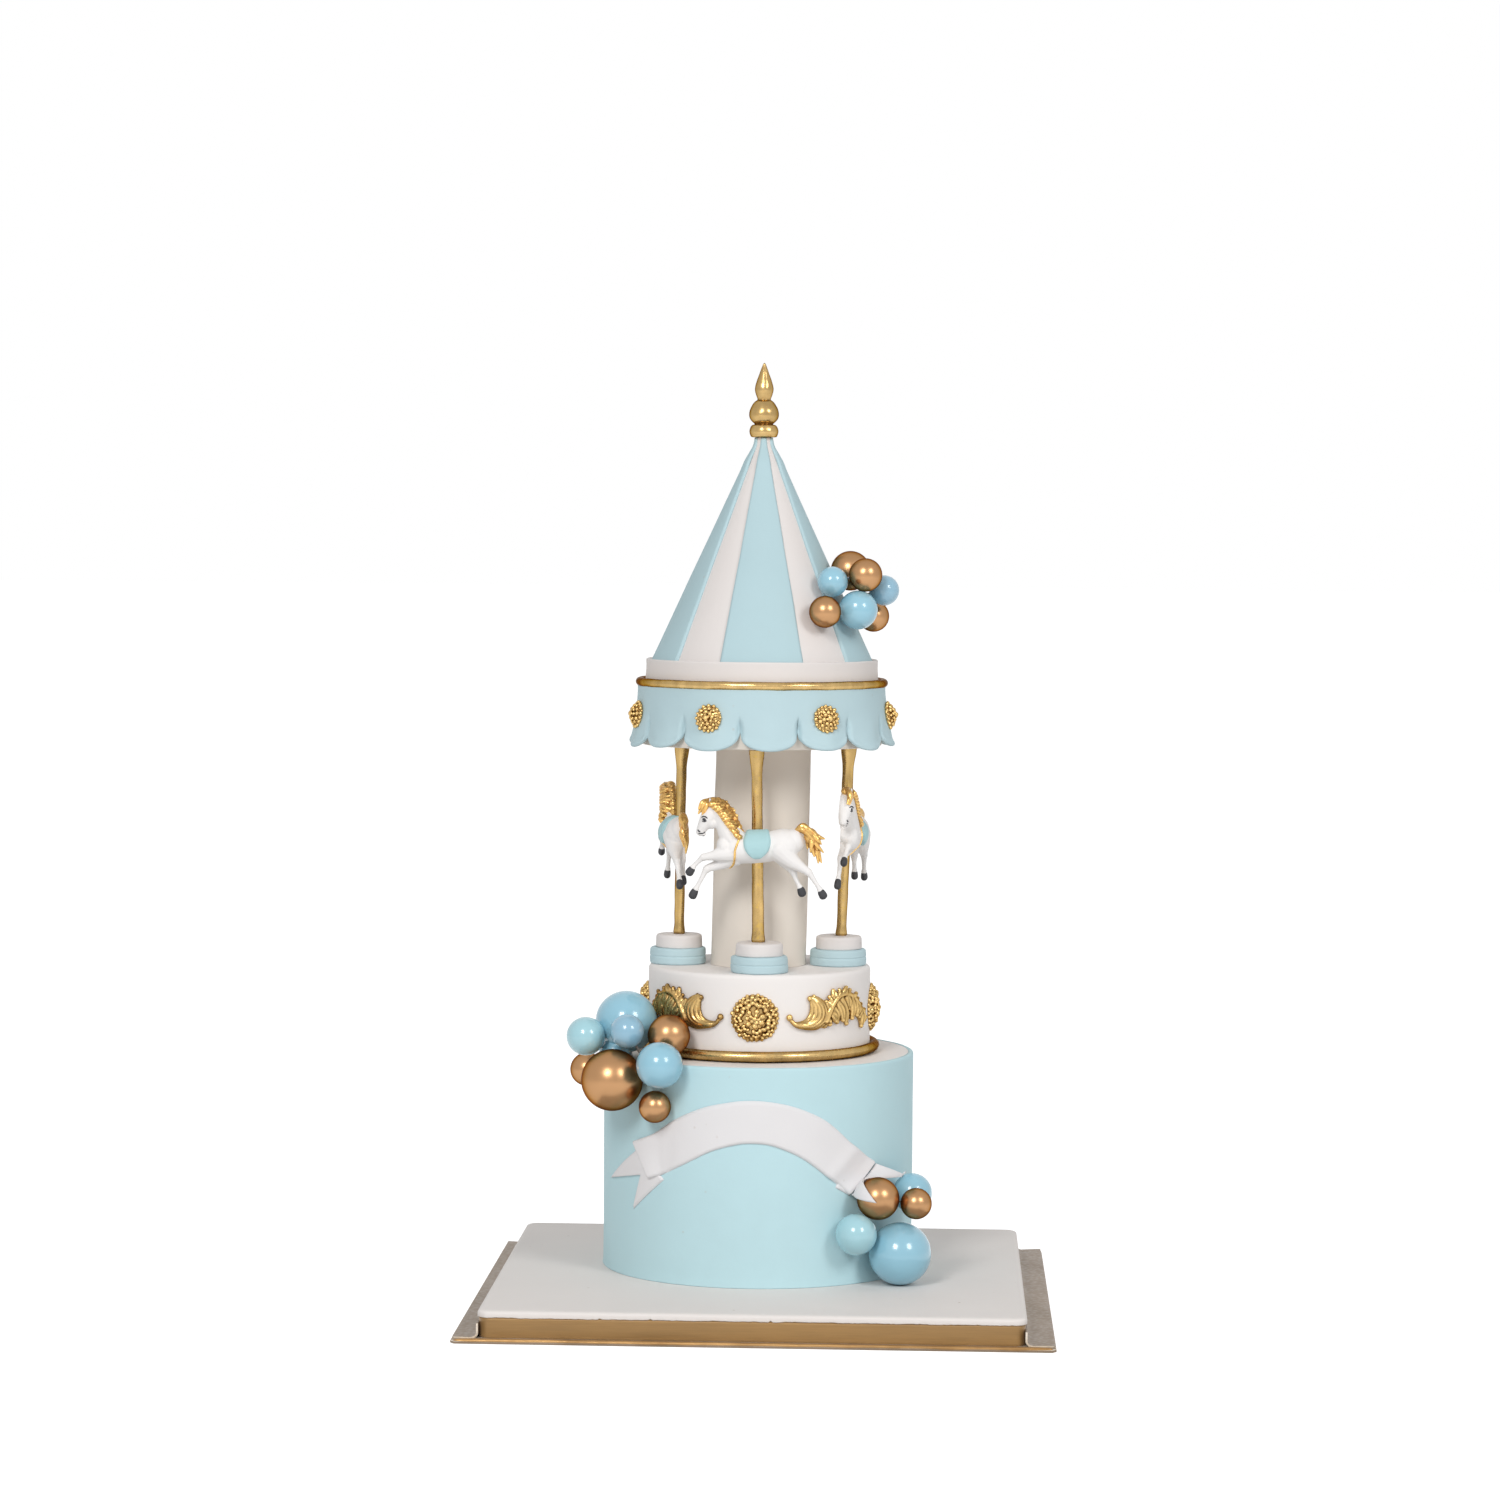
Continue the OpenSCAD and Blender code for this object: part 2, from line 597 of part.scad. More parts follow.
// drawn with its nose towards -X and its middle on the pole's axis
module horse_figure() {
    side = -pole_r;
    flank = side - 2.2;
    difference() {
        union() {
            hull() {
                translate([-12.5, flank, -2]) sphere(r = horse_depth - 2.6, $fn = 20);
                translate([2, flank, -2.6]) sphere(r = horse_depth - 3, $fn = 20);
                translate([15, flank, -0.8]) sphere(r = horse_depth - 2.4, $fn = 20);
            }
            limb([[-14, flank - 1, 1.5], [-21, flank - 1.2, 12], [-25, flank - 1.4, 19]], [8, 6, 4.8]);
            limb([[-25.5, flank - 1.4, 18.6], [-29.4, flank - 1.4, 14.4], [-32.6, flank - 1.4, 8.2]], [5, 4.4, 2.8]);
            limb([[-26.6, flank - 3.6, 23], [-27, flank - 3.8, 26]], [1.3, 0.7]);
            // mane, as a row of overlapping locks
            for (k = [0:5]) let (a = 8 + k * 21) limb([
                [-22.5 + 3.2 * sin(a) * 1.2, flank - 0.6, 16.5 + 9.2 * cos(a)],
                [-19.4 + 8.4 * sin(a + 24), flank - 2, 12.6 + 10.8 * cos(a + 24)]], [2.6, 2.2]);
            limb([[-30.6, flank - 2, 21], [-25, flank - 1.6, 24.4]], [1.9, 2.8]);
            // tail
            limb([[21.5, flank, 7.6], [26.5, flank - 0.6, 9.6], [30.4, flank - 1, 6], [31, flank - 1, -1],
                [33.6, flank - 0.6, -9]], [2.6, 3, 3.2, 2.6, 0.7]);
            limb([[30, flank - 1, 5], [35.4, flank - 0.6, 4.4]], [2.2, 0.6]);
            limb([[30.6, flank - 1, 0], [34.6, flank - 0.6, -3.6]], [2, 0.6]);
            // fore legs: the near one is raised higher
            limb([[-16, flank - 3.4, -3], [-24.2, flank - 4, -4.4], [-31.2, flank - 3.6, -7.4], [-35, flank - 3, -12.4],
                [-38.4, flank - 2.8, -14.8]], [5.6, 3, 2, 1.5, 1.9]);
            limb([[-15, flank + 0.4, -6], [-23.4, flank, -12.6], [-29, flank, -15.6], [-34.2, flank, -25],
                [-37.8, flank, -30]], [5.6, 3.2, 2.1, 1.5, 1.9]);
            // hind legs
            limb([[14, flank - 3, -4], [17.6, flank - 3.8, -12], [26.6, flank - 4, -17], [32.8, flank - 3.6, -25.4],
                [36.2, flank - 3.6, -30]], [7, 3.6, 2.2, 1.5, 1.9]);
            limb([[13.6, flank + 0.6, -5], [16, flank + 0.4, -11], [20.4, flank, -16.6], [22.2, flank, -24],
                [24, flank, -28.4]], [6.2, 3.4, 2, 1.5, 1.9]);
        }
        translate([-60, side, -60]) cube([120, 30, 120]);
        saddle_form(saddle_in, 30, 0.06);
    }
}

// sets a horse on its pole's outer side, at its height and heading
module horse_at(i)
    pole_at(i) translate([0, 0, horse_z]) rotate([0, 0, [0, -90, 90][i] + horse_turn[i]]) children();

module horse_front() color(white_paste) horse_at(0) horse_figure();
module horse_left() color(white_paste) horse_at(1) horse_figure();
module horse_right() color(white_paste) horse_at(2) horse_figure();

// a saddle cloth with a rounded flap; it is let into the horse's flank
saddle_in = horse_depth - 2.9;
saddle_out = horse_depth - 1.3;
module saddle_form(inner, outer, clear) intersection() {
    translate([-10, -pole_r - 2.2, -2.4]) rotate([0, 90, 0]) tube(outer, inner - clear, 20);
    rotate([90, 0, 0]) translate([0, 0, pole_r]) linear_extrude(height = 40) {
        translate([0.6, -1.2]) circle(r = 7.6 + clear, $fn = 48);
        translate([-7 - clear, -1.2]) square([15.2 + 2 * clear, 12]);
    }
}

module saddles() color(blue_paste) for (i = [0:2]) horse_at(i) saddle_form(saddle_in, saddle_out, 0);

// ---- canopy ----

module canopy_core() color(white_paste) difference() {
    translate([0, 0, column_top]) tube(canopy_r, dowel_r, canopy_h);
    for (i = [0:2]) pole_at(i) cylinder(r = pole_r, h = 2 * (column_h + pole_seat), center = true);
}

ring_mid_r = canopy_r + 0.6;

module canopy_band() color(white_paste) rotate_extrude()
    polygon([[dowel_r, core_top], [band_low_r, core_top], [band_low_r, core_top + 2],
        [band_high_r, band_top - 1], [band_high_r - 1, band_top], [dowel_r, band_top]]);

module canopy_ring() color(gold_paint) rotate_extrude() difference() {
    translate([ring_mid_r, core_top + canopy_ring_r]) circle(r = canopy_ring_r, $fn = 48);
    polygon([[0, core_top], [band_low_r, core_top], [band_low_r, core_top + 2],
        [band_high_r, band_top - 1], [0, band_top]]);
}

valance_top = core_top;
valance_low = column_top - valance_drop;
valance_mid_r = canopy_r + valance_t + valance_flare;
scallop_r = PI * valance_mid_r / scallops;
scallop_z = valance_low + scallop_r;

// the gap between two scallops, drawn about the notch between them
module notch_outline() difference() {
    translate([-scallop_r, -scallop_r - 10]) square([2 * scallop_r, scallop_r + 10]);
    for (x = [-1, 1]) translate([x * scallop_r, 0]) circle(r = scallop_r + 0.15, $fn = 96);
}

module valance() color(blue_paste) difference() {
    rotate_extrude() polygon([
        [canopy_r, valance_top], [canopy_r + valance_t, valance_top],
        [canopy_r + valance_t + valance_flare, valance_low - 0.01], [canopy_r + valance_flare, valance_low - 0.01],
        [canopy_r + 0.6, valance_top - 8], [canopy_r, valance_top - 6]]);
    for (k = [0:scallops - 1]) faced(scallop_turn + (k + 0.5) * 360 / scallops)
        translate([0, -canopy_r + 6, scallop_z]) rotate([90, 0, 0]) linear_extrude(height = 30) notch_outline();
}

// the paint's thickness between the valance and its rosettes
rosette_off = 0.05;
rosette_z = scallop_z + 1;
valance_tilt = atan(valance_flare / (valance_top - valance_low));
function valance_wall(z) = canopy_r + valance_t + valance_flare * (valance_top - z) / (valance_top - valance_low);
valance_ornament_t = 3.6;
module valance_rosettes() color(gold_paint)
    for (k = [0:scallops / 2 - 1]) faced(scallop_turn + (2 * k + 1) * 360 / scallops) {
        intersection() {
            rotate_extrude() for (z = [valance_low - 5]) polygon([
                [valance_wall(z) + rosette_off, z], [valance_wall(z) + valance_ornament_t * 0.5, z],
                [valance_wall(valance_top) + valance_ornament_t * 0.5, valance_top],
                [valance_wall(valance_top) + rosette_off, valance_top]]);
            translate([0, 0, rosette_z]) rotate([90, 0, 0]) linear_extrude(height = 200)
                flower(valance_rosette_r, 9, valance_rosette_r * 0.16);
        }
        translate([0, -valance_wall(rosette_z) - valance_ornament_t * 0.2, rosette_z])
            rotate([-valance_tilt, 0, 0]) rosette_heart(valance_rosette_r, valance_ornament_t * 0.8, 9);
    }

finial_spigot_r = 2;

module cone_core() color(white_paste) difference() {
    rotate_extrude() polygon([[0, band_top], [cone_r, band_top], [cone_neck_r, band_top + cone_neck_h],
        [cone_top_r + 0.6, cone_top - 5], [cone_top_r, cone_top], [0, cone_top]]);
    translate([0, 0, band_top - 1]) cylinder(r = dowel_r, h = dowel_top - band_top + 1);
    translate([0, 0, dowel_top - 1]) cylinder(r = finial_spigot_r, h = 40);
}

module cone_stripes() color(blue_paste) for (k = [0:stripes - 1])
    faced(stripe_turn + 360 / stripes * k - 90 - stripe_angle / 2)
        rotate_extrude(angle = stripe_angle)
            polygon([[cone_r, band_top], [cone_r + stripe_t, band_top],
                [cone_neck_r + stripe_t, band_top + cone_neck_h + 0.6],
                [cone_top_r + 1.4, cone_top - 5], [cone_top_r + 0.7, cone_top], [cone_top_r, cone_top],
                [cone_top_r + 0.6, cone_top - 5], [cone_neck_r, band_top + cone_neck_h]]);

// turned finial: flange, ball, neck and spear
module finial() color(gold_paint) {
    flange_h = finial_h * 0.17;
    ball_r = 8.6;
    ball_z = cone_top + flange_h + ball_r - 2;
    spear_z = ball_z + ball_r - 0.6;
    tip_z = cone_top + finial_h;
    rotate_extrude() {
        translate([0, cone_top]) square([8.9 - flange_h / 2, flange_h]);
        translate([8.9 - flange_h / 2, cone_top + flange_h / 2]) circle(r = flange_h / 2, $fn = 32);
        translate([0, ball_z]) intersection() {
            circle(r = ball_r, $fn = 64);
            translate([0, -20]) square(40);
        }
        polygon([[0, spear_z - 1], [4, spear_z - 1], [4.2, spear_z + 1.4], [5.6, spear_z + 5.4],
            [5.2, spear_z + 8], [3.6, spear_z + 13.4], [2, tip_z - 4], [0.9, tip_z - 1], [0, tip_z]]);
    }
    translate([0, 0, dowel_top + 0.4]) cylinder(r = finial_spigot_r, h = cone_top - dowel_top, $fn = 48);
}

// ---- gear outlines ----

pressure = 25;
function inv(a) = tan(a) * 180 / PI - a;
function flank_angle(r, base, teeth, slack) =
    90 / teeth - slack + inv(pressure) - inv(acos(base / r));

// involute teeth with shortened tips; slack thins each flank
module spur(m, teeth, slack, steps) {
    pitch_r = m * teeth / 2;
    base = pitch_r * cos(pressure);
    tip = pitch_r + 0.8 * m;
    root = pitch_r - 1.1 * m;
    thin = slack / pitch_r * 180 / PI;
    low = max(base, root);
    flank = [for (k = [0:steps]) let (r = low + (tip - low) * k / steps)
        [r, flank_angle(r, base, teeth, thin)]];
    foot = base > root ? [[root, flank[0][1]]] : [];
    half = concat(foot, flank);
    tooth = concat([for (p = half) [p[0], -p[1]]], [for (k = [len(half) - 1:-1:0]) half[k]]);
    polygon([for (i = [0:teeth - 1], p = tooth) let (a = i * 360 / teeth + p[1]) p[0] * [cos(a), sin(a)]]);
}

// ---- movement, which hangs from the underside of the lid ----

bed_z = lid_z - bed_t;
bush_r = stem_r + 2;
bed_left = 26;
bed_right = 50.5;
bed_w = 51;
ratchet_t = 1.6;
ratchet_z = bed_z - 0.7 - ratchet_t;
wheel_t = 1.8;
wheel_z = ratchet_z - 0.2 - wheel_t;
crown_r = crown_module * crown_teeth / 2;
pinion_r = crown_module * pinion_teeth / 2;
crown_pitch_z = wheel_z - 1.1 * crown_module;
arbor_z = crown_pitch_z - pinion_r;
crown_slack = 0.125;
train_slack = 0.03;
cover_t = 1;
cover_z = wheel_z - 3.6;
housing_z = cover_z - housing_h;
housing_r = crown_r - crown_face / 2 - 1.7;
housing_wall = 1;
housing_floor = 1.5;
hub_collar_r = 4;
spring_gap = 0.12;
pivot_r = 1.5;
arbor_r = 1.2;
small_arbor_r = 0.6;
post_r = 2.4;
post_circle = crown_r + crown_face / 2 + 0.8 + post_r;
bracket_t = 1.5;
bracket_x = crown_r + crown_face / 2 + 1.2;
cylinder_x = bracket_x + bracket_t + 1.1;
cylinder_end = cylinder_x + cylinder_l;
wheel_gap = 0.6;
train_t = 1;
cylinder_wheel_x = cylinder_end + wheel_gap;
governor_wheel_x = cylinder_wheel_x + train_t + 1.4;
frame_x = governor_wheel_x + train_t + 1.2;
inner_frame_x = cylinder_end - 1.8;
governor_drop = 18;
fly_drop = 15;
governor_reach = train_module * (cylinder_teeth + small_teeth) / 2;
fly_reach = train_module * (governor_teeth + small_teeth) / 2;
governor_at = [-governor_reach * cos(governor_drop), arbor_z - governor_reach * sin(governor_drop)];
fly_at = governor_at - fly_reach * [cos(fly_drop), sin(fly_drop)];
pin_circle = cylinder_r + pin_h;
comb_t = 0.9;
comb_y = pin_circle + comb_clear;
comb_root_y = comb_y + 11;
comb_back_y = comb_root_y + 7;
comb_x = cylinder_x + (cylinder_l - comb_pitch * comb_teeth) / 2;
screw_r = 1.2;
screw_head_r = 2.2;
screw_circle = 13;
lid_screws = [[-20, -20], [-20, 20], [bed_right - 4, 19]];
lid_screw_grip = lid_t - 0.6;
comb_screws = [comb_x + 3, comb_x + comb_pitch * comb_teeth - 3];

// lays a piece drawn in X and Y, and raised in Z, across the arbors at X
module on_arbor(x, at) translate([x, at[0], at[1]]) rotate([90, 0, 90]) children();

module bedplate() color(brass) translate([0, 0, bed_z]) difference() {
    linear_extrude(height = bed_t) translate([(bed_right - bed_left) / 2, 0])
        rounded_square(bed_left + bed_right, bed_w, 4);
    translate([0, 0, -1]) cylinder(r = bush_r, h = bed_t + 2);
    for (s = lid_screws) translate([s[0], s[1], -1]) cylinder(r = screw_r, h = bed_t + 2, $fn = 24);
}

// a cheese-headed screw that points up from its head at Z = 0
module screw_up(length) {
    translate([0, 0, -1.2]) difference() {
        cylinder(r = screw_head_r, h = 1.2, $fn = 32);
        translate([-3, -0.25, -0.6]) cube([6, 0.5, 1]);
    }
    cylinder(r = screw_r, h = length, $fn = 24);
}

module movement_screws() color(steel) {
    for (s = lid_screws) translate([s[0], s[1], bed_z]) screw_up(bed_t + lid_screw_grip);
    for (x = comb_screws) translate([x, comb_back_y - 3.4, arbor_z - comb_t / 2]) screw_up(6);
}

module stem_bush() color(brass) {
    translate([0, 0, bed_z]) tube(bush_r, stem_r + run_fit, drum_top - bed_z + 0.3);
    translate([0, 0, bed_z - 0.5]) tube(bush_r + 2, stem_r + run_fit, 0.5);
}

module post_at(i) rotate([0, 0, 60 + 120 * i]) translate([post_circle, 0, 0]) children();

module spring_housing() color(brass) difference() {
    union() {
        translate([0, 0, housing_z]) cylinder(r = housing_r, h = housing_h);
        for (i = [0:2]) rotate([0, 0, 60 + 120 * i]) {
            translate([0, -post_r - 0.6, housing_z]) cube([post_circle, 2 * post_r + 1.2, housing_floor]);
            translate([post_circle, 0, housing_z]) cylinder(r = post_r + 0.6, h = housing_floor);
        }
    }
    translate([0, 0, housing_z + housing_floor]) cylinder(r = housing_r - housing_wall, h = housing_h);
    translate([0, 0, housing_z - 1]) cylinder(r = pivot_r + run_fit, h = 10);
    for (i = [0:2]) post_at(i) translate([0, 0, housing_z - 1]) cylinder(r = screw_r, h = 10, $fn = 24);
}

module spring_cover() color(brass) translate([0, 0, cover_z])
    tube(housing_r, stem_r + 0.6, cover_t);

module housing_posts() color(steel) for (i = [0:2]) post_at(i) {
    top = housing_z + housing_floor;
    translate([0, 0, top]) cylinder(r = post_r, h = bed_z - top, $fn = 32);
    translate([0, 0, housing_z]) screw_up(housing_floor + 0.01);
}

// the mainspring's strip, as a spiral between the collar and the wall
module mainspring() color(steel) {
    first = hub_collar_r + spring_t / 2 + spring_gap;
    last = housing_r - housing_wall - spring_t / 2 - spring_gap;
    end = 360 * spring_turns;
    bottom = housing_z + housing_floor + 0.4;
    translate([0, 0, bottom]) linear_extrude(height = cover_z - 0.4 - bottom) polygon(concat(
        [for (a = [0:20:end]) (first - spring_t / 2 + (last - first) * a / end) * [cos(a), sin(a)]],
        [for (a = [end:-20:0]) (first + spring_t / 2 + (last - first) * a / end) * [cos(a), sin(a)]]));
}

// the bracket that carries the cylinder's inner journal
module arbor_bracket() color(brass) difference() {
    union() {
        on_arbor(bracket_x, [0, arbor_z]) linear_extrude(height = bracket_t) {
            circle(r = 3.6, $fn = 48);
            translate([-3.6, 0]) square([7.2, bed_z - arbor_z]);
        }
        translate([bracket_x, -5, bed_z - 1.5]) cube([7, 10, 1.5]);
    }
    on_arbor(bracket_x - 1, [0, arbor_z]) cylinder(r = arbor_r + run_fit, h = bracket_t + 2, $fn = 48);
}

// two plates that carry the outer journal, the governor arbor and the fly
module frame_plate(x, inner_edge) difference() {
    low = fly_at[1] - 4;
    on_arbor(x, [0, 0]) linear_extrude(height = bracket_t)
        polygon([[fly_at[0] - 3, low], [governor_at[0] + 2, low], [inner_edge, arbor_z - 4],
            [inner_edge, bed_z], [fly_at[0] - 3, bed_z]]);
    on_arbor(x - 1, [0, arbor_z]) cylinder(r = arbor_r + run_fit, h = bracket_t + 2, $fn = 48);
    for (at = [governor_at, fly_at])
        on_arbor(x - 1, at) cylinder(r = small_arbor_r + run_fit, h = bracket_t + 2, $fn = 48);
}

module governor_frame() color(brass) {
    frame_plate(frame_x, 4);
    frame_plate(inner_frame_x - bracket_t, -pin_circle - 1);
    translate([inner_frame_x - bracket_t, fly_at[0] - 3, bed_z - 1.2])
        cube([frame_x + bracket_t - inner_frame_x + bracket_t, 3, 1.2]);
}

// a comb of tuned teeth; the low notes carry leads under their tips
module comb() color(steel) difference() {
    union() {
        translate([comb_x, comb_root_y, arbor_z - comb_t / 2])
            cube([comb_pitch * comb_teeth, comb_back_y - comb_root_y, comb_t]);
        for (i = [0:comb_teeth - 1]) translate([comb_x + (i + 0.1) * comb_pitch, comb_y, arbor_z - comb_t / 2]) {
            cube([comb_pitch * 0.8, comb_root_y - comb_y + 0.5, comb_t]);
            if (i < comb_teeth / 2) translate([0, 0.9, -1.6 + i * 0.12])
                cube([comb_pitch * 0.8, 3, 1.7 - i * 0.12]);
        }
    }
    for (x = comb_screws) translate([x, comb_back_y - 3.4, arbor_z - 2]) cylinder(r = screw_r, h = 4, $fn = 24);
}

module comb_block() color(brass) difference() {
    translate([comb_x, comb_root_y + 0.8, arbor_z + comb_t / 2])
        cube([comb_pitch * comb_teeth, comb_back_y - comb_root_y - 0.8, bed_z - arbor_z - comb_t / 2]);
    for (x = comb_screws) translate([x, comb_back_y - 3.4, arbor_z]) cylinder(r = screw_r, h = 6, $fn = 24);
}

// pins stand in a track under each comb tooth, at turns that never line up
module cylinder_pins()
    for (i = [0:comb_teeth - 1], k = [0:2])
        rotate([i * 137.5 + k * 111, 0, 0]) translate([comb_x + (i + 0.5) * comb_pitch, 0, cylinder_r - 0.4])
            cylinder(r = 0.22, h = pin_h + 0.4, $fn = 16);

module cylinder_body() color(brass) translate([0, 0, arbor_z]) difference() {
    union() {
        rotate([0, 90, 0]) translate([0, 0, cylinder_x]) cylinder(r = cylinder_r, h = cylinder_l);
        cylinder_pins();
    }
    rotate([0, 90, 0]) translate([0, 0, cylinder_x - 1]) cylinder(r = arbor_r, h = cylinder_l + 2, $fn = 48);
}

module cylinder_arbor() color(steel) {
    start = crown_r - crown_face / 2 - 0.4;
    on_arbor(start, [0, arbor_z]) cylinder(r = arbor_r, h = frame_x + bracket_t - start, $fn = 48);
    on_arbor(crown_r - crown_face / 2, [0, arbor_z]) linear_extrude(height = crown_face)
        rotate(90 + 180 / pinion_teeth) spur(crown_module, pinion_teeth, crown_slack, 4);
}

module cylinder_wheel() color(brass) on_arbor(cylinder_wheel_x, [0, arbor_z])
    linear_extrude(height = train_t) difference() {
        rotate(180 + governor_drop) spur(train_module, cylinder_teeth, train_slack, 2);
        circle(r = arbor_r, $fn = 48);
        for (i = [0:4]) rotate(72 * i) translate([5, 0]) circle(r = 1.8, $fn = 24);
    }

module governor_wheel() color(brass) {
    on_arbor(inner_frame_x - bracket_t, governor_at)
        cylinder(r = small_arbor_r, h = frame_x + 2 * bracket_t - inner_frame_x, $fn = 32);
    on_arbor(cylinder_wheel_x - 0.4, governor_at) linear_extrude(height = train_t + 0.8)
        rotate(governor_drop + 180 / small_teeth) spur(train_module, small_teeth, train_slack, 3);
    on_arbor(governor_wheel_x, governor_at) linear_extrude(height = train_t) difference() {
        rotate(180 + fly_drop) spur(train_module, governor_teeth, train_slack, 2);
        for (i = [0:3]) rotate(90 * i) translate([4.2, 0]) circle(r = 1.6, $fn = 24);
    }
}

// the air brake: a pinion with two thin vanes
module fly() color(steel) {
    vane_x = inner_frame_x + 0.5;
    vane_l = governor_wheel_x - 0.9 - vane_x;
    on_arbor(inner_frame_x - bracket_t, fly_at)
        cylinder(r = small_arbor_r, h = frame_x + 2 * bracket_t - inner_frame_x, $fn = 32);
    on_arbor(governor_wheel_x - 0.4, fly_at) linear_extrude(height = train_t + 0.8)
        rotate(fly_drop + 180 / small_teeth) spur(train_module, small_teeth, train_slack, 3);
    on_arbor(vane_x, fly_at) linear_extrude(height = vane_l) square([8.6, 0.4], center = true);
    on_arbor(vane_x, fly_at) cylinder(r = 1.1, h = vane_l, $fn = 32);
}

stem_top = former_z + flange_t + 4;
module winding_stem() color(steel) {
    collar_z = housing_z + housing_floor + 0.3;
    translate([0, 0, housing_z]) cylinder(r = pivot_r, h = 2 + housing_floor, $fn = 48);
    translate([0, 0, collar_z]) cylinder(r = hub_collar_r, h = cover_z - 0.3 - collar_z, $fn = 64);
    translate([0, 0, collar_z]) cylinder(r = stem_r, h = stem_top - collar_z, $fn = 64);
    translate([0, 0, ratchet_z]) linear_extrude(height = ratchet_t) ratchet_outline();
}

// hooked ratchet teeth, whose tips overhang their roots by a fifth of a step
ratchet_r = 8.2;
ratchet_low = ratchet_r - 1.3;
ratchet_teeth = 16;
ratchet_hook = 0.2;
function ratchet_point(step, r) = r * [cos(step * 360 / ratchet_teeth), sin(step * 360 / ratchet_teeth)];
module ratchet_outline() polygon([for (i = [0:ratchet_teeth - 1], tip = [0, 1])
    ratchet_point(i - tip * ratchet_hook, tip == 1 ? ratchet_r : ratchet_low)]);

// the gap between two crown teeth, at the front of the rim and cut along X
module crown_gap(length) {
    half = PI * crown_module / 4 + crown_slack;
    rise = 1.1 * crown_module;
    fall = 0.8 * crown_module + 1;
    rotate([90, 0, 90]) linear_extrude(height = length) polygon([
        [-half + rise * tan(pressure), rise], [-half - fall * tan(pressure), -fall],
        [half + fall * tan(pressure), -fall], [half - rise * tan(pressure), rise]]);
}

module great_wheel() color(brass) {
    outer = crown_r + crown_face / 2;
    teeth_h = 1.9 * crown_module;
    difference() {
        union() {
            translate([0, 0, wheel_z]) cylinder(r = outer, h = wheel_t);
            translate([0, 0, wheel_z - teeth_h]) tube(outer, outer - crown_face, teeth_h + 0.5);
        }
        translate([0, 0, wheel_z - 1]) cylinder(r = stem_r, h = wheel_t + 2);
        for (i = [1:4]) rotate([0, 0, 72 * i]) translate([11.6, 0, wheel_z - 1]) cylinder(r = 3.6, h = wheel_t + 2);
        translate([click_circle, 0, wheel_z - 1]) cylinder(r = 0.9, h = 4, $fn = 24);
        for (i = [0:crown_teeth - 1]) rotate([0, 0, (i + 0.5) * 360 / crown_teeth])
            translate([outer - crown_face - 1, 0, crown_pitch_z]) crown_gap(crown_face + 2);
    }
}

// the click turns on a stud in the great wheel and holds the ratchet
click_circle = 12.4;
module click() color(steel) {
    translate([0, 0, ratchet_z]) linear_extrude(height = ratchet_t - 0.2) {
        translate([click_circle, 0]) circle(r = 1.9, $fn = 32);
        polygon([[click_circle + 1.4, 1.3], [click_circle - 1.2, -1.5],
            ratchet_point(0.92, ratchet_low + 0.15), ratchet_point(0.75, ratchet_r + 0.15),
            ratchet_point(0.82, ratchet_r + 1.3)]);
    }
    translate([click_circle, 0, wheel_z]) cylinder(r = 0.9, h = ratchet_z - wheel_z + ratchet_t + 0.2, $fn = 24);
}

module drive_flange() color(brass) difference() {
    union() {
        translate([0, 0, platform_z + 0.2]) cylinder(r = hub_r, h = former_z + flange_t + 3 - platform_z - 0.2);
        translate([0, 0, former_z]) cylinder(r = flange_r, h = flange_t);
    }
    cylinder(r = stem_r, h = 1000, $fn = 64);
    for (i = [0:2]) rotate([0, 0, 120 * i]) translate([screw_circle, 0, former_z - 1])
        cylinder(r = screw_r, h = flange_t + 2, $fn = 24);
}

module flange_screws() color(steel) for (i = [0:2]) rotate([0, 0, 120 * i])
    translate([screw_circle, 0, former_z + flange_t]) mirror([0, 0, 1]) screw_up(flange_t + platform_board_t - 0.5);

card_tray();
base_board();
board_paste();
board_ribbon();
drum_former();
drum_paste();
drum_lid();
lid_paste();
banner();
drum_balls_blue();
drum_balls_gold();
drum_ball_picks();
bedplate();
movement_screws();
stem_bush();
spring_housing();
spring_cover();
housing_posts();
mainspring();
arbor_bracket();
governor_frame();
comb();
comb_block();
cylinder_body();  // cylinder
cylinder_arbor();
cylinder_wheel();
governor_wheel();
fly();
winding_stem();
great_wheel();
click();
drive_flange();
flange_screws();
platform_board();
platform_former();
platform_paste();
platform_ring();
platform_rosettes();
platform_scrolls();
centre_dowel();
column();
pedestal_bases();
pedestal_caps();
poles();
horse_front();
horse_left();
horse_right();
saddles();
canopy_core();
canopy_band();
canopy_ring();
valance();
valance_rosettes();
cone_core();
cone_stripes();
finial();
canopy_balls_blue();
canopy_balls_gold();
canopy_ball_picks();
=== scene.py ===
import math

import bmesh
import bpy
from mathutils import Matrix, Vector, noise
from mathutils.bvhtree import BVHTree


